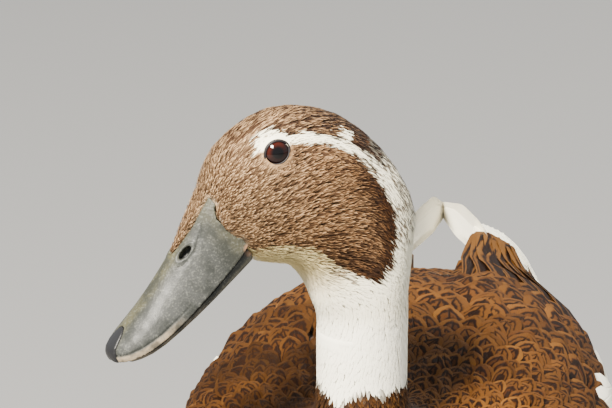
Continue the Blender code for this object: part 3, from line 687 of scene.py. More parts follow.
def marking(points, chance):
    """The markings of the whole duck, from the head's down the neck to the body's."""
    head = head_marking(points, chance)
    body = body_marking(points, chance)
    share = smooth(points[:, 2], 0.245, 0.235)
    share = np.where(points[:, 1] > BODY_ORIGIN[1] + 0.05, 1.0, share)[:, None]
    return [h * (1 - share) + b * share for h, b in zip(head, body)]


def is_white(ground):
    return smooth(ground[:, 2], 0.35, 0.50)


def coat_depth(points):
    """How deep the skin lies under the tips of the feathers."""
    body = smooth(points[:, 2], 0.212, 0.188)
    body = np.where(points[:, 1] > BODY_ORIGIN[1] + 0.05, 1.0, body)
    neck = smooth(points[:, 2], 0.252, 0.240) * (1 - body)
    return 0.0009 + 0.0028 * body - 0.0003 * neck


def root_depth(points):
    """How deep the roots of feathers lie: hardly at all beside the bill and the eyes."""
    eye, _ = from_eye(points)
    shallow = smooth(bill.distance(points), 0.0002, 0.0030) * smooth(eye, 0.0048, 0.0075)
    return coat_depth(points) * (0.25 + 0.60 * shallow)


def unwrap(points):
    """A map of the skin: round the duck one way, and from bill to tail the other."""
    course = np.vstack([head_place(0.03, -0.012), head_place(0, -0.018), head_place(-0.012, -0.035), SPINE])
    best = np.full(len(points), 1e9)
    run = np.zeros(len(points))
    turn = np.zeros(len(points))
    done = 0.0
    for start, end in zip(course, course[1:]):
        step = end - start
        length = np.linalg.norm(step)
        share = np.clip(((points - start) @ step) / length ** 2, 0, 1)
        offset = points - (start + share[:, None] * step)
        apart = np.linalg.norm(offset, axis=1)
        way = step / length
        side = unit(np.cross(way, LEFT if start[2] > 0.25 else (1.0, 0.0, 0.0)))
        other = np.cross(way, side)
        angle = np.arctan2(offset @ other, offset @ side) / (2 * math.pi) + 0.5
        closer = apart < best
        best = np.where(closer, apart, best)
        run = np.where(closer, done + share * length, run)
        turn = np.where(closer, angle, turn)
        done += length
    return np.stack([0.01 + 0.98 * turn, 0.01 + 0.98 * run / done], 1)


# Where the skin leaves the coat's depth, to stay hidden between the long feathers.
CREST_OUT, CREST_DOWN = 0.0085, 0.0040          # its shift at the inner top of each wing's end
TAIL_ROOT_LEVEL = 0.1528                        # height of the middle of the tail's root
TAIL_DROP, TAIL_CURVE = 0.022, 0.004            # of the tail's end below its root, and of its sides below that
TAIL_HALF = 0.0345                              # half width of the tail's end
TAIL_SHORTER, TAIL_NARROWER, TAIL_FLATTER = 0.60, 0.30, 0.88    # shares taken off the thin end of the tail


def hidden_shift(place):
    """How far the skin is moved at places behind the neck, at the wings' ends and towards the tail's."""
    out, along, height = np.abs(place[:, 0]), place[:, 1], place[:, 2]
    crest = smooth(along, 0.180, 0.205) * smooth(height, 0.162, 0.174) * smooth(out, 0.036, 0.014)
    aside = np.stack([CREST_OUT * np.sign(place[:, 0]), np.zeros(len(place)), np.full(len(place), -CREST_DOWN)], 1)
    shift = crest[:, None] * aside
    shift[:, 1] -= TAIL_SHORTER * np.maximum(along - 0.322, 0)
    shift[:, 0] -= TAIL_NARROWER * place[:, 0] * smooth(along, 0.285, 0.325)
    share = np.clip((along - 0.262) / 0.085, 0, 1)
    level = TAIL_ROOT_LEVEL - share * (TAIL_DROP + TAIL_CURVE * np.clip(place[:, 0] / TAIL_HALF, -1, 1) ** 2)
    shift[:, 2] += (level - height) * TAIL_FLATTER * smooth(along, 0.286, 0.310)
    return shift


def make_skin():
    mesh = coarse_mesh.copy()
    mesh.name = "skin"
    points, normals = form.nearest(mesh_points(mesh))
    eye, _ = from_eye(points)
    depth = coat_depth(points) * np.where(eye < 1, smooth(eye, 0.0050, 0.0085), 1.0)
    depth = np.where(eye < 0.0050, 0.0012, depth)
    inward = (points - normals * 1e-5).tolist()
    ways = (-normals).tolist()
    cast = form.tree.ray_cast
    thick = np.array([(cast(p, w)[3] or 0.02) for p, w in zip(inward, ways)])
    depth = np.minimum(depth, 0.40 * thick)
    set_points(mesh, points - normals * depth[:, None] + hidden_shift(points - BODY_ORIGIN))
    mesh.update()
    ground, mark, _ = marking(points, np.full(len(points), 0.5))
    paint_points(mesh, "paint", mix(ground, mark, 0.35 * np.ones(len(points))))
    material, _, _, _ = painted_material("skin under feathers", 0.8)
    finish(mesh, material)
    made = put("skin", mesh)
    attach(made, "root")
    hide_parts(*FLESH)
    return made


# Feathers -------------------------------------------------------------------------------------------------

NEIGHBOURS = [(x, y, z) for x in (-1, 0, 1) for y in (-1, 0, 1) for z in (-1, 0, 1)]    # a cell and those round it


def scatter(region, spacing, seed):
    """Places on the form, in a region, no nearer to each other than the spacing there."""
    rng = np.random.default_rng(seed)
    corners = form.points[form.faces]
    middle = corners.mean(1)
    normal = np.cross(corners[:, 1] - corners[:, 0], corners[:, 2] - corners[:, 0])
    area = np.linalg.norm(normal, axis=1) / 2
    near = spacing(middle)
    weight = area * region(middle, unit(normal)) / near ** 2
    total = int(weight.sum() * 3.2)
    picks = rng.choice(len(area), total, p=weight / weight.sum())
    a, b = rng.random((2, total))
    flip = a + b > 1
    a, b = np.where(flip, 1 - a, a)[:, None], np.where(flip, 1 - b, b)[:, None]
    c = corners[picks]
    places = c[:, 0] + (c[:, 1] - c[:, 0]) * a + (c[:, 2] - c[:, 0]) * b
    reach = spacing(places)
    cell = float(reach.max())
    grid = {}
    kept = []
    for k, (p, r, key) in enumerate(zip(places.tolist(), reach.tolist(), np.floor(places / cell).astype(int).tolist())):
        near = (q for x, y, z in NEIGHBOURS for q in grid.get((key[0] + x, key[1] + y, key[2] + z), ()))
        if all((p[0] - q[0]) ** 2 + (p[1] - q[1]) ** 2 + (p[2] - q[2]) ** 2 >= r * r for q in near):
            grid.setdefault(tuple(key), []).append(p)
            kept.append(k)
    return places[kept]


ROUND_VANE = ((0.0, 0.40), (0.30, 0.84), (0.58, 1.00), (0.78, 0.90), (0.92, 0.58), (1.0, 0.16))
SHORT_VANE = ((0.0, 0.50), (0.38, 1.00), (0.74, 0.74), (1.0, 0.14))
LONG_VANE = ((0.0, 0.45), (0.30, 0.82), (0.60, 1.00), (0.82, 0.96), (0.94, 0.66), (1.0, 0.20))


def lay_feathers(name, roots, length, width, vane, columns, material, seed, *, lift=0.0003, camber=0.10,
                 unrest=6.0):
    """One joined mesh of feathers that lie on the form, rooted in the skin and overlapping like tiles."""
    rng = np.random.default_rng(seed)
    count = len(roots)
    chance = rng.random(count)
    places, normals = form.nearest(roots)
    way = lie(places, normals)
    turn = np.radians(rng.normal(0, unrest, count))[:, None]
    across = np.cross(normals, way)
    way = unit(way * np.cos(turn) + across * np.sin(turn))
    across = np.cross(normals, way)
    long = length(places) * rng.uniform(0.86, 1.14, count)
    wide = width(places) * rng.uniform(0.90, 1.10, count)
    eye, inward = from_eye(places)
    towards = np.maximum((way * inward).sum(1), 0.0)
    room = np.where((eye < 0.5) & (towards > 0.4), (eye - EYE_RIM) / np.maximum(towards, 0.4), 1.0)
    short = np.clip(room / long, 0.0, 1.0)
    long, wide = long * short, wide * np.maximum(short, 0.7)
    kept = long > 0.0005
    places, normals, way, across, chance = (a[kept] for a in (places, normals, way, across, chance))
    long, wide = long[kept][:, None, None], wide[kept][:, None, None]
    count = len(places)
    shares = np.array([v for v, _ in vane])
    profile = np.array([w for _, w in vane])
    spread = np.linspace(-1, 1, columns)
    rows = len(shares)
    flat = (places[:, None, None, :]
            + way[:, None, None, :] * (long * shares[None, :, None])[..., None]
            + across[:, None, None, :] * (wide * 0.5 * profile[None, :, None] * spread[None, None, :])[..., None])
    laid, turned = form.nearest(flat.reshape(-1, 3))
    own = np.repeat(normals, rows * columns, 0)
    hold = smooth((own * turned).sum(1), 0.10, 0.60)[:, None]
    laid = flat.reshape(-1, 3) * (1 - hold) + laid * hold
    turned = unit(own * (1 - hold) + turned * hold)
    middles = laid.reshape(count, rows, columns, 3)[:, rows // 2, columns // 2]
    shades = marking(middles, chance)
    white = is_white(shades[0])
    deep = root_depth(places)[:, None, None]
    tip = (lift * rng.uniform(0.3, 1.6, count) * (1 - 0.85 * white * (long[:, 0, 0] < 0.010)))[:, None, None]
    deep = deep * (1 - 0.45 * white * (long[:, 0, 0] < 0.010))[:, None, None]
    height = (-deep * (1 - np.clip(shares / 0.72, 0, 1) ** 0.75)[None, :, None]
              + tip * shares[None, :, None] ** 2
              - (camber * (1 - 0.85 * white))[:, None, None] * wide * 0.5 * (spread ** 2)[None, None, :]
              * np.minimum(profile, 0.9)[None, :, None])
    height = height + (rng.random(count)[:, None, None] - 0.5) * 0.12 * deep
    points = laid + turned * height.reshape(-1)[:, None]
    faces = (np.arange(count)[:, None, None] * rows * columns + grid_faces(rows, columns)[None]).reshape(-1, 4)
    made = new_object(name, points, faces, material)
    mesh = made.data
    uneven = 0.16 - 0.13 * white
    for layer, shade in zip(("ground", "mark", "edge"), shades):
        shade = shade * (1 + uneven * rng.uniform(-1, 1, count))[:, None]
        paint_points(mesh, layer, np.clip(np.repeat(shade, rows * columns, 0), 0, 1))
    number_points(mesh, "chance", np.repeat(chance, rows * columns))
    u = np.tile((spread[None, :] * 0.5 + 0.5).repeat(rows, 0).reshape(-1), count)
    v = np.tile(shares[:, None].repeat(columns, 1).reshape(-1), count)
    lay_maps(mesh, np.stack([u, v], 1), np.repeat(unwrap(places), rows * columns, 0), faces)
    return made


def lay_maps(mesh, vane, spots, faces):
    """Each feather's own vane map, and its small patch at its root's place on the skin's map."""
    corner = faces.reshape(-1)
    mesh.uv_layers.new(name="vane").data.foreach_set("uv", vane[corner].astype(np.float32).ravel())
    patch = np.clip(spots + (vane - 0.5) * 0.003, 0, 1)
    mesh.uv_layers.new(name="OFBake").data.foreach_set("uv", patch[corner].astype(np.float32).ravel())


def split_by_side(points, parts):
    """Shares places out into parts of about equal number, from the right of the duck to its left."""
    order = np.argsort((points - BODY_ORIGIN)[:, 0])
    return [points[chunk] for chunk in np.array_split(order, parts)]


def wing_nearer(points):
    """Where the form is a wing's rather than the trunk's."""
    return WING_FORM.distance(points) < TRUNK_FORM.distance(points) + 0.0004


def make_plumage():
    streaked = feather_material("streaked face feather", "streak", 5, 0.3, 0.65)
    laced = feather_material("laced body feather", "laced", 16, 0.5)
    plain = feather_material("plain white feather", "plain", 14, 0.30, 0.68)

    def neck_column(points):
        return (points[:, 1] < BODY_ORIGIN[1] + 0.040)

    def head_region(points, normals):
        eye, _ = from_eye(points)
        return ((points[:, 2] > COLLAR - 0.002) & (bill.distance(points) > 0.00045) & (eye > 0.0051)
                & neck_column(points)).astype(float)

    def neck_share(points):
        return smooth(points[:, 2], 0.268, 0.238)

    def face_share(points):
        forward, _, _ = head_numbers(points)
        return smooth(forward, 0.002, 0.026)

    def crown_share(points):
        forward, _, up = head_numbers(points)
        level = np.interp(forward, EYE_LINE[6::-1, 0], EYE_LINE[6::-1, 1])
        return smooth(up - level, 0.001, 0.005) * smooth(forward, 0.020, 0.002) * (1 - neck_share(points))

    def face_length(points):
        eye, _ = from_eye(points)
        size = 0.0046 - 0.0020 * face_share(points) + 0.0014 * neck_share(points) + 0.0016 * crown_share(points)
        return np.minimum(size, 0.0014 + 0.6 * np.maximum(eye - 0.0051, 0))

    def face_width(points):
        return 0.00050 + 0.0008 * neck_share(points) + 0.00020 * crown_share(points)

    def face_spacing(points):
        return 0.00058 - 0.00008 * face_share(points) + 0.0004 * neck_share(points) + 0.00008 * crown_share(points)

    roots = scatter(head_region, face_spacing, 3)
    for k, part in enumerate(split_by_side(roots, 4)):
        lay_feathers(f"face_feathers_{k}", part, face_length, face_width, SHORT_VANE, 3, streaked,
                     21 + k, lift=0.00022, unrest=10, camber=0.20)

    def collar_region(points, normals):
        return ((points[:, 2] < COLLAR + 0.003) & (points[:, 2] > 0.197) & neck_column(points)).astype(float)

    roots = scatter(collar_region, lambda p: 0.0012 + 0 * p[:, 0], 5)
    lay_feathers("collar_feathers", roots, lambda p: 0.0058 + 0 * p[:, 0], lambda p: 0.0015 + 0 * p[:, 0], SHORT_VANE,
                 3, streaked, 25, lift=0.00030, unrest=9, camber=0.18)

    def wing_share(points):
        """1 on the folded flight feathers, whose vanes are long."""
        place = points - BODY_ORIGIN
        along, out, height = place[:, 1], np.abs(place[:, 0]), place[:, 2]
        turn = np.degrees(np.arctan2(out, height - 0.150))
        line = np.interp(along, *WING_WHITE)
        return smooth(turn, line - 2, line + 2) * smooth(turn, 118, 112) * smooth(along, 0.05, 0.10) * (along < 0.262)

    def size(points):
        place = points - BODY_ORIGIN
        along, height, out = place[:, 1], place[:, 2], np.abs(place[:, 0])
        breast = 0.0068 + 0.0075 * smooth(height, 0.205, 0.155)
        back = 0.0125 + 0.0125 * smooth(along, 0.03, 0.13) - 0.0080 * smooth(along, 0.215, 0.265)
        under = 0.0140 + 0.0030 * smooth(along, 0.03, 0.16)
        top = smooth(height, 0.120, 0.150)
        behind = smooth(along, 0.0, 0.06)
        whole = breast * (1 - behind) + (under * (1 - top) + back * top) * behind
        wing = wing_share(points)
        whole = whole * (1 - wing) + 0.034 * wing
        thigh = (height < 0.088) & (out > 0.022)
        return np.where(thigh, 0.008, whole)

    def wide(points):
        return size(points) * (0.60 - 0.28 * wing_share(points))

    def spacing(points):
        return size(points) * (0.235 - 0.045 * wing_share(points))

    def body_region(points, normals):
        place = points - BODY_ORIGIN
        neck = (place[:, 1] < 0.040) & (place[:, 2] > 0.199)
        outward = normals[:, 0] * np.sign(place[:, 0])
        hidden = (place[:, 1] > 0.16) & (place[:, 1] < 0.27) & (place[:, 2] > 0.12) & (np.abs(place[:, 0]) > 0.006)
        hidden[hidden] = wing_nearer(points[hidden])
        hidden &= (place[:, 1] > WING_QUILLS_FROM + 0.024) | (outward < 0.10)
        hidden |= (place[:, 1] > 0.262) & ((np.abs(place[:, 0]) > 0.0160) | (np.abs(normals[:, 2]) < 0.60))
        return ((place[:, 2] < 0.215) & (place[:, 2] > 0.063) & (place[:, 1] < 0.292) & ~neck & ~hidden).astype(float)

    roots = scatter(body_region, spacing, 6)
    place = roots - BODY_ORIGIN
    wing = wing_share(roots) > 0.5
    under = (place[:, 2] < np.interp(place[:, 1], (-0.05, 0.03, 0.16, 0.34), (0.108, 0.112, 0.120, 0.120))) & ~wing
    back = (place[:, 1] > 0.055) & ~under & ~wing
    breast = ~under & ~back & ~wing
    for name, chosen, look, slot, vane, lift in (
        ("belly_feathers", under, plain, "white_feathers", ROUND_VANE, 0.0008),
        ("breast_feathers", breast, laced, "brown_feathers", ROUND_VANE, 0.0009),
        ("back_feathers", back, laced, "brown_feathers", ROUND_VANE, 0.0011),
        ("folded_flight_feathers", wing, plain, "white_feathers", LONG_VANE, 0.0010),
    ):
        lay_feathers(name, roots[chosen], size, wide, vane, 5, look, 30 + len(name), lift=lift,
                     unrest=3 if vane is LONG_VANE else 6 if look is plain else 16, camber=0.16)


# Flight and tail feathers ---------------------------------------------------------------------------------

def lay_quills(name, quills, material, colours, columns=9, rows=12, camber=0.14):
    """Large feathers, each by its path, the way across it, its width, its taper, and the way its face looks."""
    points, faces, u_all, v_all, shades, patches, chances = [], [], [], [], [], [], []
    for k, (path, side, width, pointed, outward) in enumerate(quills):
        path = np.array(path, float)
        shares = 1 - (1 - np.linspace(0, 1, rows)) ** 1.35
        spot = shares * (len(path) - 1)
        low = np.minimum(spot.astype(int), len(path) - 2)
        frac = (spot - low)[:, None]
        before, start = path[np.maximum(low - 1, 0)], path[low]
        end, after = path[low + 1], path[np.minimum(low + 2, len(path) - 1)]
        centre = (start * (1 - frac) + end * frac
                  + 0.5 * frac * (1 - frac) * ((1 - frac) * (2 * start - before - end) * -0.5
                                               + frac * (2 * end - start - after) * 0.5))
        course = unit(np.gradient(centre, axis=0))
        side = np.asarray(side, float)
        across = unit(side[None] - course * (course @ side)[:, None])
        normal = np.cross(course, across)
        if (normal @ np.asarray(outward, float)).sum() < 0:
            normal = -normal
        reach = np.minimum(1, (0.45 + 1.5 * shares)) * np.clip((1 - shares) / pointed, 0, 1) ** 0.5
        reach = np.maximum(reach, 0.06) * width / 2
        spread = np.linspace(-1, 1, columns)
        vane = (centre[:, None] + across[:, None] * (reach[:, None] * spread)[..., None]
                - normal[:, None] * (reach[:, None] * camber * spread ** 2)[..., None]
                + normal[:, None] * (0.00035 * (np.abs(spread) < 0.01))[None, :, None])
        faces.append(grid_faces(rows, columns) + k * rows * columns)
        points.append(vane.reshape(-1, 3))
        u_all.append((spread[None] * 0.5 + 0.5).repeat(rows, 0).reshape(-1))
        v_all.append(shares[:, None].repeat(columns, 1).reshape(-1))
        shades.append([np.repeat(np.asarray(c, float)[None], rows * columns, 0) for c in colours[k]])
        patches.append(np.repeat(unwrap(path[:1]), rows * columns, 0))
        chances.append(np.full(rows * columns, (k * 0.618) % 1))
    points, faces = np.vstack(points), np.vstack(faces)
    made = new_object(name, points, faces, material)
    mesh = made.data
    for j, layer in enumerate(("ground", "mark", "edge")):
        paint_points(mesh, layer, np.vstack([s[j] for s in shades]))
    number_points(mesh, "chance", np.concatenate(chances))
    lay_maps(mesh, np.stack([np.concatenate(u_all), np.concatenate(v_all)], 1), np.vstack(patches), faces)
    return made


# The blades of folded primaries: behind the neck, then to the left of the mid-plane and the height of the left
# and of the right blade. The tips cross over the rump.
PRIMARY_BACK = (0.215, 0.235, 0.250, 0.270, 0.285, 0.297, 0.303)
PRIMARIES = {
    1: ((0.0270, 0.0235, 0.0194, 0.0099, 0.0027, -0.0047, -0.0080),
        (0.1790, 0.1812, 0.1835, 0.1843, 0.1848, 0.1856, 0.1856)),
    -1: ((-0.0240, -0.0175, -0.0125, -0.0090, -0.0070, -0.0047, -0.0026),
         (0.1790, 0.1845, 0.1890, 0.1876, 0.1864, 0.1854, 0.1848)),
}
PRIMARY_COUNT = 5
PRIMARY_START = 0.217                           # behind the neck, where each primary leaves the wing
PRIMARY_HALF = 0.0085                           # half width of the blade
PRIMARY_STEP = 0.0042                           # from each primary's tip to the next
WING_QUILLS_FROM = 0.170                        # behind the neck, where the long feathers of the wing's end start
WING_QUILL_BACKS = (0.170, 0.188, 0.206, 0.224, 0.240)          # places on such a feather, behind the neck
WING_QUILLS, BROWN_QUILLS = 13, 8               # all that lie over the wing's end, and the brown ones of them
INNER_WIDTHS, WING_QUILL_WIDTH = (0.0095, 0.0130), 0.0165       # of the two innermost, and of the others
END_QUILLS = 9                                  # white feathers that leave the wing's end under the brown ones
END_BACKS = (0.215, 0.228, 0.240, 0.252)
END_WIDTHS = (0.0085, 0.0130)                   # of the innermost, and of the others
QUILLS_MEET = (0.008, 0.300, 0.180)             # out, back and up: where they all point
# Places behind the neck, and the angles there of the innermost and of the lowest, from the top of the back.
WING_FAN = (0.170, 0.190, 0.210, 0.230, 0.250), (22, 22, 22, 23, 24), (108, 100, 91, 76, 58)
TAIL_QUILLS, TAIL_QUILL_WIDTH = 14, 0.0125      # in each of the two layers
TAIL_QUILL_ROOT = (0.262, 0.1520)               # behind the neck, and height
TAIL_QUILL_LENGTH, TAIL_QUILL_COVERED = 0.3515 - 0.2730, 0.0105         # what shows, and what the rump covers


def wing_quill(share, sign, backs, lift, beyond):
    """One of the long feathers over a wing's end; share runs from the innermost to the lowest."""
    path, ways = [], []
    for back in backs:
        low, high = (np.interp(back, WING_FAN[0], angles) for angles in WING_FAN[1:])
        angle = math.radians(low + (high - low) * share)
        way = np.array([sign * math.sin(angle), 0.0, math.cos(angle)])
        start = BODY_ORIGIN + (0.0, back, 0.150)
        place, _, _, _ = form.tree.ray_cast(Vector(start + way * 0.2), Vector(-way))
        rise = -0.0010 + lift * float(smooth(back, backs[0], backs[0] + 0.02))
        path.append(np.array(place) + way * rise)
        ways.append(way)
    tip = BODY_ORIGIN + (sign * QUILLS_MEET[0], *QUILLS_MEET[1:])
    course = unit(unit(path[-1] - path[-2]) + unit(tip - path[-1]))
    for reach in beyond:
        path.append(path[len(backs) - 1] + course * reach)
    outward = ways[len(ways) // 2]
    across = np.cross(unit(path[-1] - path[0]), outward)
    if across[2] > 0:
        across = -across
    return path, across + 0.16 * outward, outward


def make_quills():
    plain = feather_material("white flight feather", "plain", 40, 0.5, 0.55)
    tail_look = feather_material("tail feather", "laced", 40, 0.5, 0.55)
    white = (WHITE, tuple(0.95 * c for c in WHITE), WHITE)
    fawn = tuple(mix(BROWN, BUFF, 0.45))
    for side, sign in (("left", 1), ("right", -1)):
        quills = []
        outs, heights = PRIMARIES[sign]
        across = np.array([0.0, 0.0, -1.0])
        for k in range(PRIMARY_COUNT):
            path = []
            for back in np.linspace(PRIMARY_START, PRIMARY_BACK[-1] - PRIMARY_STEP * k, 8):
                middle = np.array([np.interp(back, PRIMARY_BACK, outs), back, np.interp(back, PRIMARY_BACK, heights)])
                shift = across * PRIMARY_HALF * (0.32 - 0.16 * k)
                path.append(BODY_ORIGIN + middle + shift + np.array([sign * 0.0006 * (2 - k), 0, 0]))
            quills.append((path, across, 2 * PRIMARY_HALF * 0.80, 0.20, (sign, 0, 0.2)))
        piece = lay_quills("primary_feathers_" + side, quills, plain, [white] * PRIMARY_COUNT,
                           rows=22)
        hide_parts("primaries_" + side)
        for name, chosen, look, slot, shade in (
            ("tertial_feathers_", range(BROWN_QUILLS), tail_look, "brown_feathers", (fawn, DARK, BUFF)),
            ("secondary_feathers_", range(BROWN_QUILLS, WING_QUILLS), plain, "white_feathers", white),
        ):
            quills = []
            for k in chosen:
                share = k / (WING_QUILLS - 1)
                backs = np.array(WING_QUILL_BACKS) + (0.004 * (k % 2) if look is tail_look else 0.006)
                path, way, outward = wing_quill(share, sign, backs, 0.0028 + 0.0012 * (1 - share), (0.005,))
                width = INNER_WIDTHS[k] if k < len(INNER_WIDTHS) else WING_QUILL_WIDTH
                quills.append((path, way, width, 0.22, outward))
            lay_quills(name + side, quills, look, [shade] * len(quills), camber=0.06)
        quills = []
        for k in range(END_QUILLS):
            path, way, outward = wing_quill(k / (END_QUILLS - 1), sign, END_BACKS, 0.0018,
                                            (0.009, 0.018 - 0.006 * k / END_QUILLS))
            quills.append((path, way, END_WIDTHS[min(k, 1)], 0.20, outward))
        lay_quills("wing_end_feathers_" + side, quills, plain, [white] * END_QUILLS, camber=0.06)

    quills, shades = [], []
    middle = (TAIL_QUILLS - 1) / 2
    for layer in (1, -1):
        for k in range(TAIL_QUILLS):
            u = (k - middle) / middle
            reach = TAIL_QUILL_LENGTH * (1 - 0.12 * abs(u) ** 2.2)
            path = []
            for share in (0.0, 0.35, 0.7, 1.0):
                out = u * (0.0130 + 0.0215 * share ** 0.8)
                drop = TAIL_DROP * share + TAIL_CURVE * u * u * share
                height = TAIL_QUILL_ROOT[1] - drop + layer * (0.0006 + 0.0016 * (1 - share)) + 0.0012 * (1 - abs(u))
                path.append(BODY_ORIGIN + (out, TAIL_QUILL_ROOT[0] + (reach + TAIL_QUILL_COVERED) * share, height))
            quills.append((path, (1, 0.35 * u, -0.12 * u), TAIL_QUILL_WIDTH, 0.16, (0, 0, 1)))
            shades.append((fawn, DARK, BUFF))
    lay_quills("tail_feathers", quills, tail_look, shades)


# Bill -----------------------------------------------------------------------------------------------------

SLATE = (0.036, 0.038, 0.035)
SLATE_PALE = (0.048, 0.050, 0.048)
SLATE_DARK = (0.014, 0.015, 0.013)
OLIVE = (0.078, 0.070, 0.026)
BLACK = (0.006, 0.006, 0.007)
HORN_RIM = (0.270, 0.215, 0.145)
GAPE_SKIN = (0.300, 0.160, 0.085)
# Lines on the side of the upper bill, as places forward and up: two creases by the nostril, drawn in and darkened by
# painted shade.
CREASES = (
    (0.00045, np.array([(0.0360, -0.0065), (0.0380, -0.0086), (0.0416, -0.0112), (0.0444, -0.0131)])),
    (0.00045, np.array([(0.0484, -0.0139), (0.0505, -0.0143), (0.0530, -0.0137)])),
)
TOMIUM = ((0.0290, 0.0380, 0.0500, 0.0620, 0.0720, 0.0800, 0.0860, 0.0906),
          (-0.0238, -0.0262, -0.0284, -0.0297, -0.0299, -0.0293, -0.0284, -0.0270))
RIM_HEIGHT = 0.0026                              # of the pale band along the front of the upper bill's edge


def bill_relief(points):
    """How far the upper bill's surface is drawn in (less than 0) or out at each point."""
    forward, _, up = head_numbers(points)
    above = up - np.interp(forward, *TOMIUM)
    front = smooth(forward, 0.054, 0.062)
    relief = -0.00028 * np.exp(-((above - RIM_HEIGHT - 0.0002) / 0.00045) ** 2) * front
    for width, path in CREASES:
        apart, _ = from_path(forward, up, path)
        relief = relief - 0.00022 * np.exp(-(apart / width) ** 2)
    reach = nostril_reach(points)
    return relief + 0.00042 * np.exp(-((reach - 1.42) / 0.24) ** 2) - 0.0010 * smooth(reach, 1.05, 0.55)


def bill_paint(points, lower):
    forward, left, up = head_numbers(points)
    side = np.abs(left)
    above = up - np.interp(forward, *TOMIUM)
    colour = mix(SLATE, SLATE_PALE, 0.60 * smooth(side, 0.002, 0.008) * smooth(forward, 0.036, 0.056))
    colour = mix(colour, OLIVE, 0.60 * smooth(side, 0.0065, 0.001) * smooth(forward, 0.028, 0.045))
    colour = mix(colour, OLIVE, 0.30 * smooth(forward, 0.040, 0.030))
    colour = mix(colour, SLATE_DARK, 0.35 * smooth(side, 0.0040, 0.0015) * smooth(forward, 0.050, 0.058)
                 * smooth(forward, 0.080, 0.066))
    front = smooth(forward, 0.060, 0.072)
    colour = mix(colour, HORN_RIM, 0.85 * front * smooth(above, RIM_HEIGHT + 0.0001, RIM_HEIGHT - 0.0007))
    # Painted shade in the groove above the pale rim.
    colour = mix(colour, SLATE_DARK, 0.75 * front * np.exp(-((above - RIM_HEIGHT - 0.0003) / 0.0004) ** 2))
    # Painted shade along the mouth line, at the upper bill's lower edge towards the gape.
    colour = mix(colour, SLATE_DARK, 0.6 * smooth(above, 0.0010, 0.0002) * smooth(forward, 0.062, 0.052))
    gape = np.hypot(forward - 0.0284, (up + 0.0246) / 1.2)
    colour = mix(colour, GAPE_SKIN, 0.85 * smooth(gape, 0.0026, 0.0014))
    if lower:
        colour = mix(mix(SLATE, SLATE_DARK, 0.35), HORN_RIM, 0.35 * smooth(forward, 0.045, 0.070))
        colour = mix(np.broadcast_to(colour, (len(points), 3)), GAPE_SKIN, 0.4 * smooth(gape, 0.0030, 0.0014))
    else:
        # Painted shade in the creases by the nostril.
        for width, path in CREASES:
            apart, _ = from_path(forward, up, path)
            colour = mix(colour, SLATE_DARK, 0.75 * np.exp(-(apart / (0.8 * width)) ** 2))
    return colour


def make_bill():
    nail = Surface((fused("nail_form", ["bill_nail"], 0.0, 0.0006, 1), every_part))
    material, s, shader, paint = painted_material("slate bill", 0.46, Specular_IOR_Level=0.22)
    place = s.node("ShaderNodeTexCoord").outputs["Object"]
    speckle = s.noise(place, 1400.0, 3.0)
    cloud = s.noise(place, 190.0, 4.0)
    fine = s.mix(s.math("MULTIPLY", s.ramp(speckle, 0.48, 0.72), 0.55), paint, (0.125, 0.128, 0.110))
    fine = s.mix(s.math("MULTIPLY", s.ramp(cloud, 0.42, 0.62), 0.70), fine, (0.017, 0.019, 0.017))
    s.link(fine, shader.inputs["Base Color"])
    s.link(s.math("MULTIPLY_ADD", cloud, 0.25, 0.34), shader.inputs["Roughness"])
    s.relief(s.math("ADD", speckle, s.math("MULTIPLY", cloud, 2.0)), 0.35, 0.00025, shader)
    for node, voxel in (("bill_upper", 0.00036), ("bill_lower", 0.00045)):
        mesh = fused(node + "_skin", [node], 0.0, voxel, 6)
        points = mesh_points(mesh)
        if node == "bill_upper":
            points = points + mesh_normals(mesh) * bill_relief(points)[:, None]
            set_points(mesh, points)
            mesh.update()
        finish(mesh, material)
        colours = bill_paint(points, node == "bill_lower")
        # Black under and just round the nail: the nail's own black, and painted shade in the gap between nail and bill.
        colours = mix(colours, BLACK, smooth(nail.distance(points), 0.0010, 0.0006))
        if node == "bill_upper":
            colours = paint_nostril_shade_and_rim_highlight(points, colours)
        paint_points(mesh, "paint", colours)
        made = put(node + "_skin", mesh)
        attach(made, "root")
        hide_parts(node)


NOSTRIL = (0.0467, -0.0116, 0.0052)              # ahead of the eyes, up, and out
NOSTRIL_HALVES = (0.0031, 0.0013)
NOSTRIL_SLOPES = (math.radians(-13), math.radians(-9), math.radians(38))    # down ahead, in ahead, and roll


def nostril_reach(points):
    """How far out from the nearer nostril each point lies: 1 on its rim, less inside it."""
    forward, left, up = head_numbers(points)
    down, inward, roll = NOSTRIL_SLOPES
    along = np.array([math.cos(down), math.sin(inward), math.sin(down)])
    along /= np.linalg.norm(along)
    out = np.array([0.0, math.cos(roll), math.sin(roll)])
    out = unit(out - along * (out @ along))
    over = np.cross(along, out)
    offset = np.stack([forward - NOSTRIL[0], np.abs(left) - NOSTRIL[2], up - NOSTRIL[1]], 1)
    return np.hypot(offset @ along / NOSTRIL_HALVES[0], offset @ over / NOSTRIL_HALVES[1])


def paint_nostril_shade_and_rim_highlight(points, colours):
    # Painted highlight on each nostril's raised rim, and painted shade: black inside the hole.
    reach = nostril_reach(points)
    colours = mix(colours, SLATE_PALE, 0.5 * np.exp(-((reach - 1.35) / 0.2) ** 2))
    return mix(colours, BLACK, smooth(reach, 1.10, 0.92))


NAIL_PROUD = 0.00025                            # how far the horn stands out over the bill's tip


def make_nail():
    material, _, shader = new_material("black bill nail", 0.42, Specular_IOR_Level=0.3)
    shader.inputs["Base Color"].default_value = (0.009, 0.009, 0.010, 1)
    mesh = fused("bill_nail_horn", ["bill_nail"], 0.0, 0.00035, 8)
    set_points(mesh, mesh_points(mesh) + mesh_normals(mesh) * NAIL_PROUD)
    finish(mesh, material)
    made = put("bill_nail_horn", mesh)
    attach(made, "root")
    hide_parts("bill_nail")


# Eyes -----------------------------------------------------------------------------------------------------

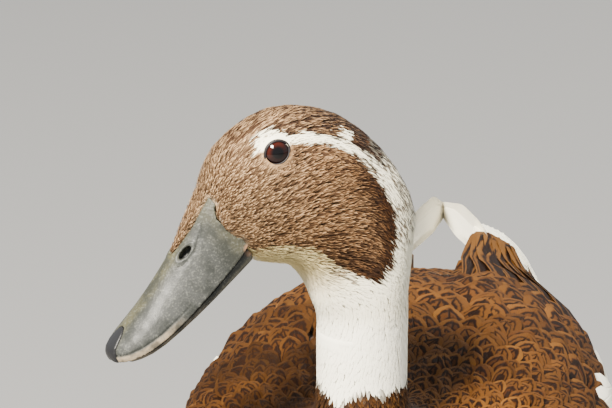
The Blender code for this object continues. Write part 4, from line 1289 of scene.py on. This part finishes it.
IRIS, PUPIL = 0.0043, 0.0020                    # radii
LID_EDGE, LID_REACH = 0.0045, 0.0044            # from the eye's axis: where the ball sinks in, and the lid's middle
SURROUND = (0.0043, 0.0055, 0.0068)             # from the eye's axis, across the bare skin


def make_eyes():
    ball_look, _, _, _ = painted_material("wet dark brown eye", 0.04, Specular_IOR_Level=0.32)
    surround_look, _, _, _ = painted_material("skin round the eye", 0.8, Specular_IOR_Level=0.1)
    lid_look, _, _, _ = painted_material("dark eyelid", 0.55, Specular_IOR_Level=0.25)
    for side, sign in (("left", 1), ("right", -1)):
        out, ahead, over = eye_axes(sign)
        centre = EYE_CENTRES[side]
        turns, rings = 72, 40
        tilt = np.linspace(0.0, 2.2, rings)
        spin = np.linspace(0, 2 * math.pi, turns, endpoint=False)
        tilts, spins = np.meshgrid(tilt, spin, indexing="ij")
        lid = math.asin(LID_EDGE / EYE_RADIUS)
        dome = EYE_RADIUS * (1 + 0.035 * np.exp(-(tilts / 0.42) ** 2) - 0.16 * smooth(tilts, lid, lid + 0.22))
        points = (centre + out * (dome * np.cos(tilts))[..., None]
                  + ahead * (dome * np.sin(tilts) * np.cos(spins))[..., None]
                  + over * (dome * np.sin(tilts) * np.sin(spins))[..., None]).reshape(-1, 3)
        grid = np.arange(rings * turns).reshape(rings, turns)
        after = np.roll(grid, -1, 1)
        faces = np.stack([grid[1:-1], grid[2:], after[2:], after[1:-1]], -1).reshape(-1, 4)
        fan = np.stack([np.zeros(turns, int), grid[1], after[1], np.zeros(turns, int)], -1)
        mesh = bpy.data.meshes.new("eyeball_" + side)
        used = [f if f[0] != f[3] else f[:3] for f in faces.tolist() + fan.tolist()]
        mesh.from_pydata(points.tolist(), [], used)
        if sign < 0:
            mesh.flip_normals()
        mesh.shade_smooth()
        away = (EYE_RADIUS * np.sin(np.minimum(tilts, math.pi / 2))).reshape(-1)
        ray = np.sin(spins.reshape(-1) * 23) * np.sin(spins.reshape(-1) * 9 + 1)
        iris = mix((0.012, 0.0030, 0.0020), (0.005, 0.0018, 0.0014), 0.5 + 0.5 * ray)
        # Painted light: the iris is redder towards its bottom, as where light from above falls through the cornea onto
        # it.
        low = smooth(-np.sin(spins.reshape(-1)), -0.3, 0.7)
        iris = mix(iris, (0.032, 0.0048, 0.0020), 0.80 * smooth(away, 0.0021, 0.0031) * low)
        paint = mix(iris, (0.0015, 0.0012, 0.0015), smooth(away, PUPIL + 0.0003, PUPIL - 0.0002))
        paint = mix(paint, (0.003, 0.0025, 0.003), smooth(away, IRIS - 0.0007, IRIS - 0.0002))
        mesh.materials.append(ball_look)
        made = put("eyeball_" + side, mesh)
        paint_points(mesh, "paint", paint)
        bm = bmesh.new()
        bm.from_mesh(mesh)
        bmesh.ops.delete(bm, geom=[v for v in bm.verts if not v.link_faces], context="VERTS")
        bm.to_mesh(mesh)
        bm.free()
        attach(made, "root")
        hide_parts("eye_" + side)
        make_lids(side, centre, out, ahead, over, lid_look)
        make_surround(side, centre, out, ahead, over, surround_look)


def make_lids(side, centre, out, ahead, over, material):
    """A narrow rim of bare lid round the eye, drawn out a little to its corners."""
    turns, cuts = 84, 10
    spin = np.linspace(0, 2 * math.pi, turns, endpoint=False)
    corner = np.abs(np.cos(spin)) ** 10
    reach = LID_REACH * (1 + 0.07 * corner) * (1 - 0.06 * np.abs(np.sin(spin)) ** 3)
    lean = np.arcsin(reach / EYE_RADIUS)
    ring = (centre + out * (EYE_RADIUS * np.cos(lean) + 0.0001)[:, None]
            + ahead * (reach * np.cos(spin))[:, None] + over * (reach * np.sin(spin))[:, None])
    outward = unit(ring - centre)
    rim = unit(np.cross(np.roll(ring, -1, 0) - np.roll(ring, 1, 0), outward))
    thick = 0.00046 + 0.00016 * np.abs(np.sin(spin))
    points = []
    for k in range(cuts):
        angle = 2 * math.pi * k / cuts
        points.append(ring + outward * (0.00015 + 0.00042 * math.cos(angle)) + rim * (thick * math.sin(angle))[:, None])
    points = np.stack(points, 1).reshape(-1, 3)
    grid = np.arange(turns * cuts).reshape(turns, cuts)
    nxt, up_one = np.roll(grid, -1, 0), np.roll(grid, -1, 1)
    faces = np.stack([grid, nxt, np.roll(nxt, -1, 1), up_one], -1).reshape(-1, 4)
    made = new_object("eyelid_" + side, points, faces, material)
    bm = bmesh.new()
    bm.from_mesh(made.data)
    bmesh.ops.recalc_face_normals(bm, faces=bm.faces)
    bm.to_mesh(made.data)
    bm.free()
    paint_points(made.data, "paint", np.repeat([(0.011, 0.009, 0.010)], len(points), 0))


def make_surround(side, centre, out, ahead, over, material):
    """The skin between the lid and the first feathers."""
    turns, rows = 84, 6
    spin = np.linspace(0, 2 * math.pi, turns, endpoint=False)
    reach = np.linspace(SURROUND[0], SURROUND[-1], rows)
    spins, reaches = np.meshgrid(spin, reach, indexing="ij")
    spins, reaches = spins.ravel(), reaches.ravel()
    flat = (centre + out * np.sqrt(EYE_RADIUS ** 2 - np.minimum(reaches, 0.99 * EYE_RADIUS) ** 2)[:, None]
            + ahead * (reaches * np.cos(spins))[:, None] + over * (reaches * np.sin(spins))[:, None])
    laid, normals = form.nearest(flat)
    points = laid + normals * np.interp(reaches, SURROUND, (0.0004, 0.00015, -0.0004))[:, None]
    grid = np.arange(turns * rows).reshape(turns, rows)
    nxt = np.roll(grid, -1, 0)
    faces = np.stack([grid[:, :-1], nxt[:, :-1], nxt[:, 1:], grid[:, 1:]], -1).reshape(-1, 4)
    made = new_object("eye_surround_" + side, points, faces, material)
    ground, mark, _ = marking(laid, np.full(len(laid), 0.5))
    paint_points(made.data, "paint", mix(ground, mark, 0.25))


# Legs -----------------------------------------------------------------------------------------------------

RING_STEP, RING_RISE = 0.0021, 0.00010          # of the rings of scales on the shank


def make_legs():
    material, s, shader, paint = painted_material("scaly orange leg", 0.5, Specular_IOR_Level=0.4)
    place = s.node("ShaderNodeTexCoord").outputs["Object"]
    scales = s.node("ShaderNodeTexVoronoi", feature="DISTANCE_TO_EDGE")
    scales.inputs["Scale"].default_value = 520.0
    s.link(place, scales.inputs["Vector"])
    edge = s.ramp(scales.outputs["Distance"], 0.0, 0.09)
    s.link(s.mix(edge, (0.09, 0.030, 0.009), paint), shader.inputs["Base Color"])
    s.relief(edge, 0.6, 0.0003, shader)
    for side in ("left", "right"):
        nodes = ["shank_" + side, "foot_" + side, "hind_toe_" + side]
        mesh = fused("leg_" + side, nodes, 0.0004, 0.00065, 4)
        points, normals = mesh_points(mesh), mesh_normals(mesh)
        points -= normals * 0.0003
        points[:, 2] = np.maximum(points[:, 2], 0.0)
        ring = np.sin(points[:, 2] * 2 * math.pi / RING_STEP)
        shank = smooth(points[:, 2], 0.010, 0.016)
        points[:, :2] += normals[:, :2] * (RING_RISE * ring * shank)[:, None]
        set_points(mesh, points)
        mesh.update()
        finish(mesh, material)
        foot_low, foot_high = (np.array(c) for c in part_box("foot_" + side))
        ankle = np.array([(foot_low[0] + foot_high[0]) / 2, foot_high[1] - 0.010])
        reach = np.linalg.norm(points[:, :2] - ankle, axis=1)
        paint_values = mix((0.360, 0.120, 0.022), (0.270, 0.078, 0.016), smooth(points[:, 2], 0.02, 0.0))
        claw = smooth(reach, 0.0605, 0.0625) * (points[:, 2] < 0.006)
        paint_values = mix(paint_values, (0.060, 0.040, 0.030), claw)
        paint_points(mesh, "paint", paint_values)
        made = put("leg_" + side, mesh)
        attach(made, "root")
        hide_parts(*nodes)


# Stage ----------------------------------------------------------------------------------------------------

def make_stage():
    bpy.ops.object.select_all(action="DESELECT")
    bpy.ops.mesh.primitive_plane_add(size=12, location=(0, 0, 0))
    floor = bpy.context.object
    floor.name = "floor"
    look, _, shader = new_material("pale floor", 0.8)
    shader.inputs["Base Color"].default_value = (0.20, 0.20, 0.198, 1)
    floor.data.materials.append(look)

    world = bpy.data.worlds.new("studio")
    bpy.context.scene.world = world
    world.use_nodes = True
    sky = world.node_tree.nodes["Background"]
    sky.inputs[0].default_value = (0.90, 0.95, 1.0, 1)
    sky.inputs[1].default_value = 0.85

    for name, spot, energy, size, colour in (
        ("key", (-0.55, -1.46, 1.85), 330, 0.50, (1.0, 0.93, 0.82)),
        ("back light", (1.1, 1.6, 1.7), 46, 0.9, (1.0, 0.97, 0.92)),
    ):
        light = bpy.data.lights.new(name, "AREA")
        light.energy = energy
        light.size = size
        light.color = colour
        holder = put(name, light)
        holder.location = spot
        aim = Vector((0, -0.05, 0.2)) - Vector(spot)
        holder.rotation_euler = aim.to_track_quat("-Z", "Y").to_euler()


CAMERA_ASIDE, CAMERA_LOWER = 0.010714, 0.019286         # of the camera, from straight before the head


def make_camera():
    """Looks down 18 degrees at the head, from the duck's front and a little to its left."""
    azimuth, elevation, distance = math.radians(7.8), math.radians(18), 1.7
    away = np.array([math.sin(azimuth) * math.cos(elevation), -math.cos(azimuth) * math.cos(elevation),
                     math.sin(elevation)])
    right = np.array([math.cos(azimuth), math.sin(azimuth), 0.0])
    over = np.cross(away, right)
    eye = head_place(0, 0, 0.0165)
    data = bpy.data.cameras.new("camera")
    data.sensor_width = 36
    data.lens = 280
    data.clip_end = 50
    camera = put("camera", data)
    axes = Matrix((right, over, away)).transposed().to_4x4()
    place = eye + distance * away + CAMERA_ASIDE * right - CAMERA_LOWER * over
    camera.matrix_world = Matrix.Translation(place) @ axes
    bpy.context.scene.camera = camera


make_stage()
make_camera()
make_skin()
make_plumage()
make_quills()
make_bill()
make_nail()
make_eyes()
make_legs()
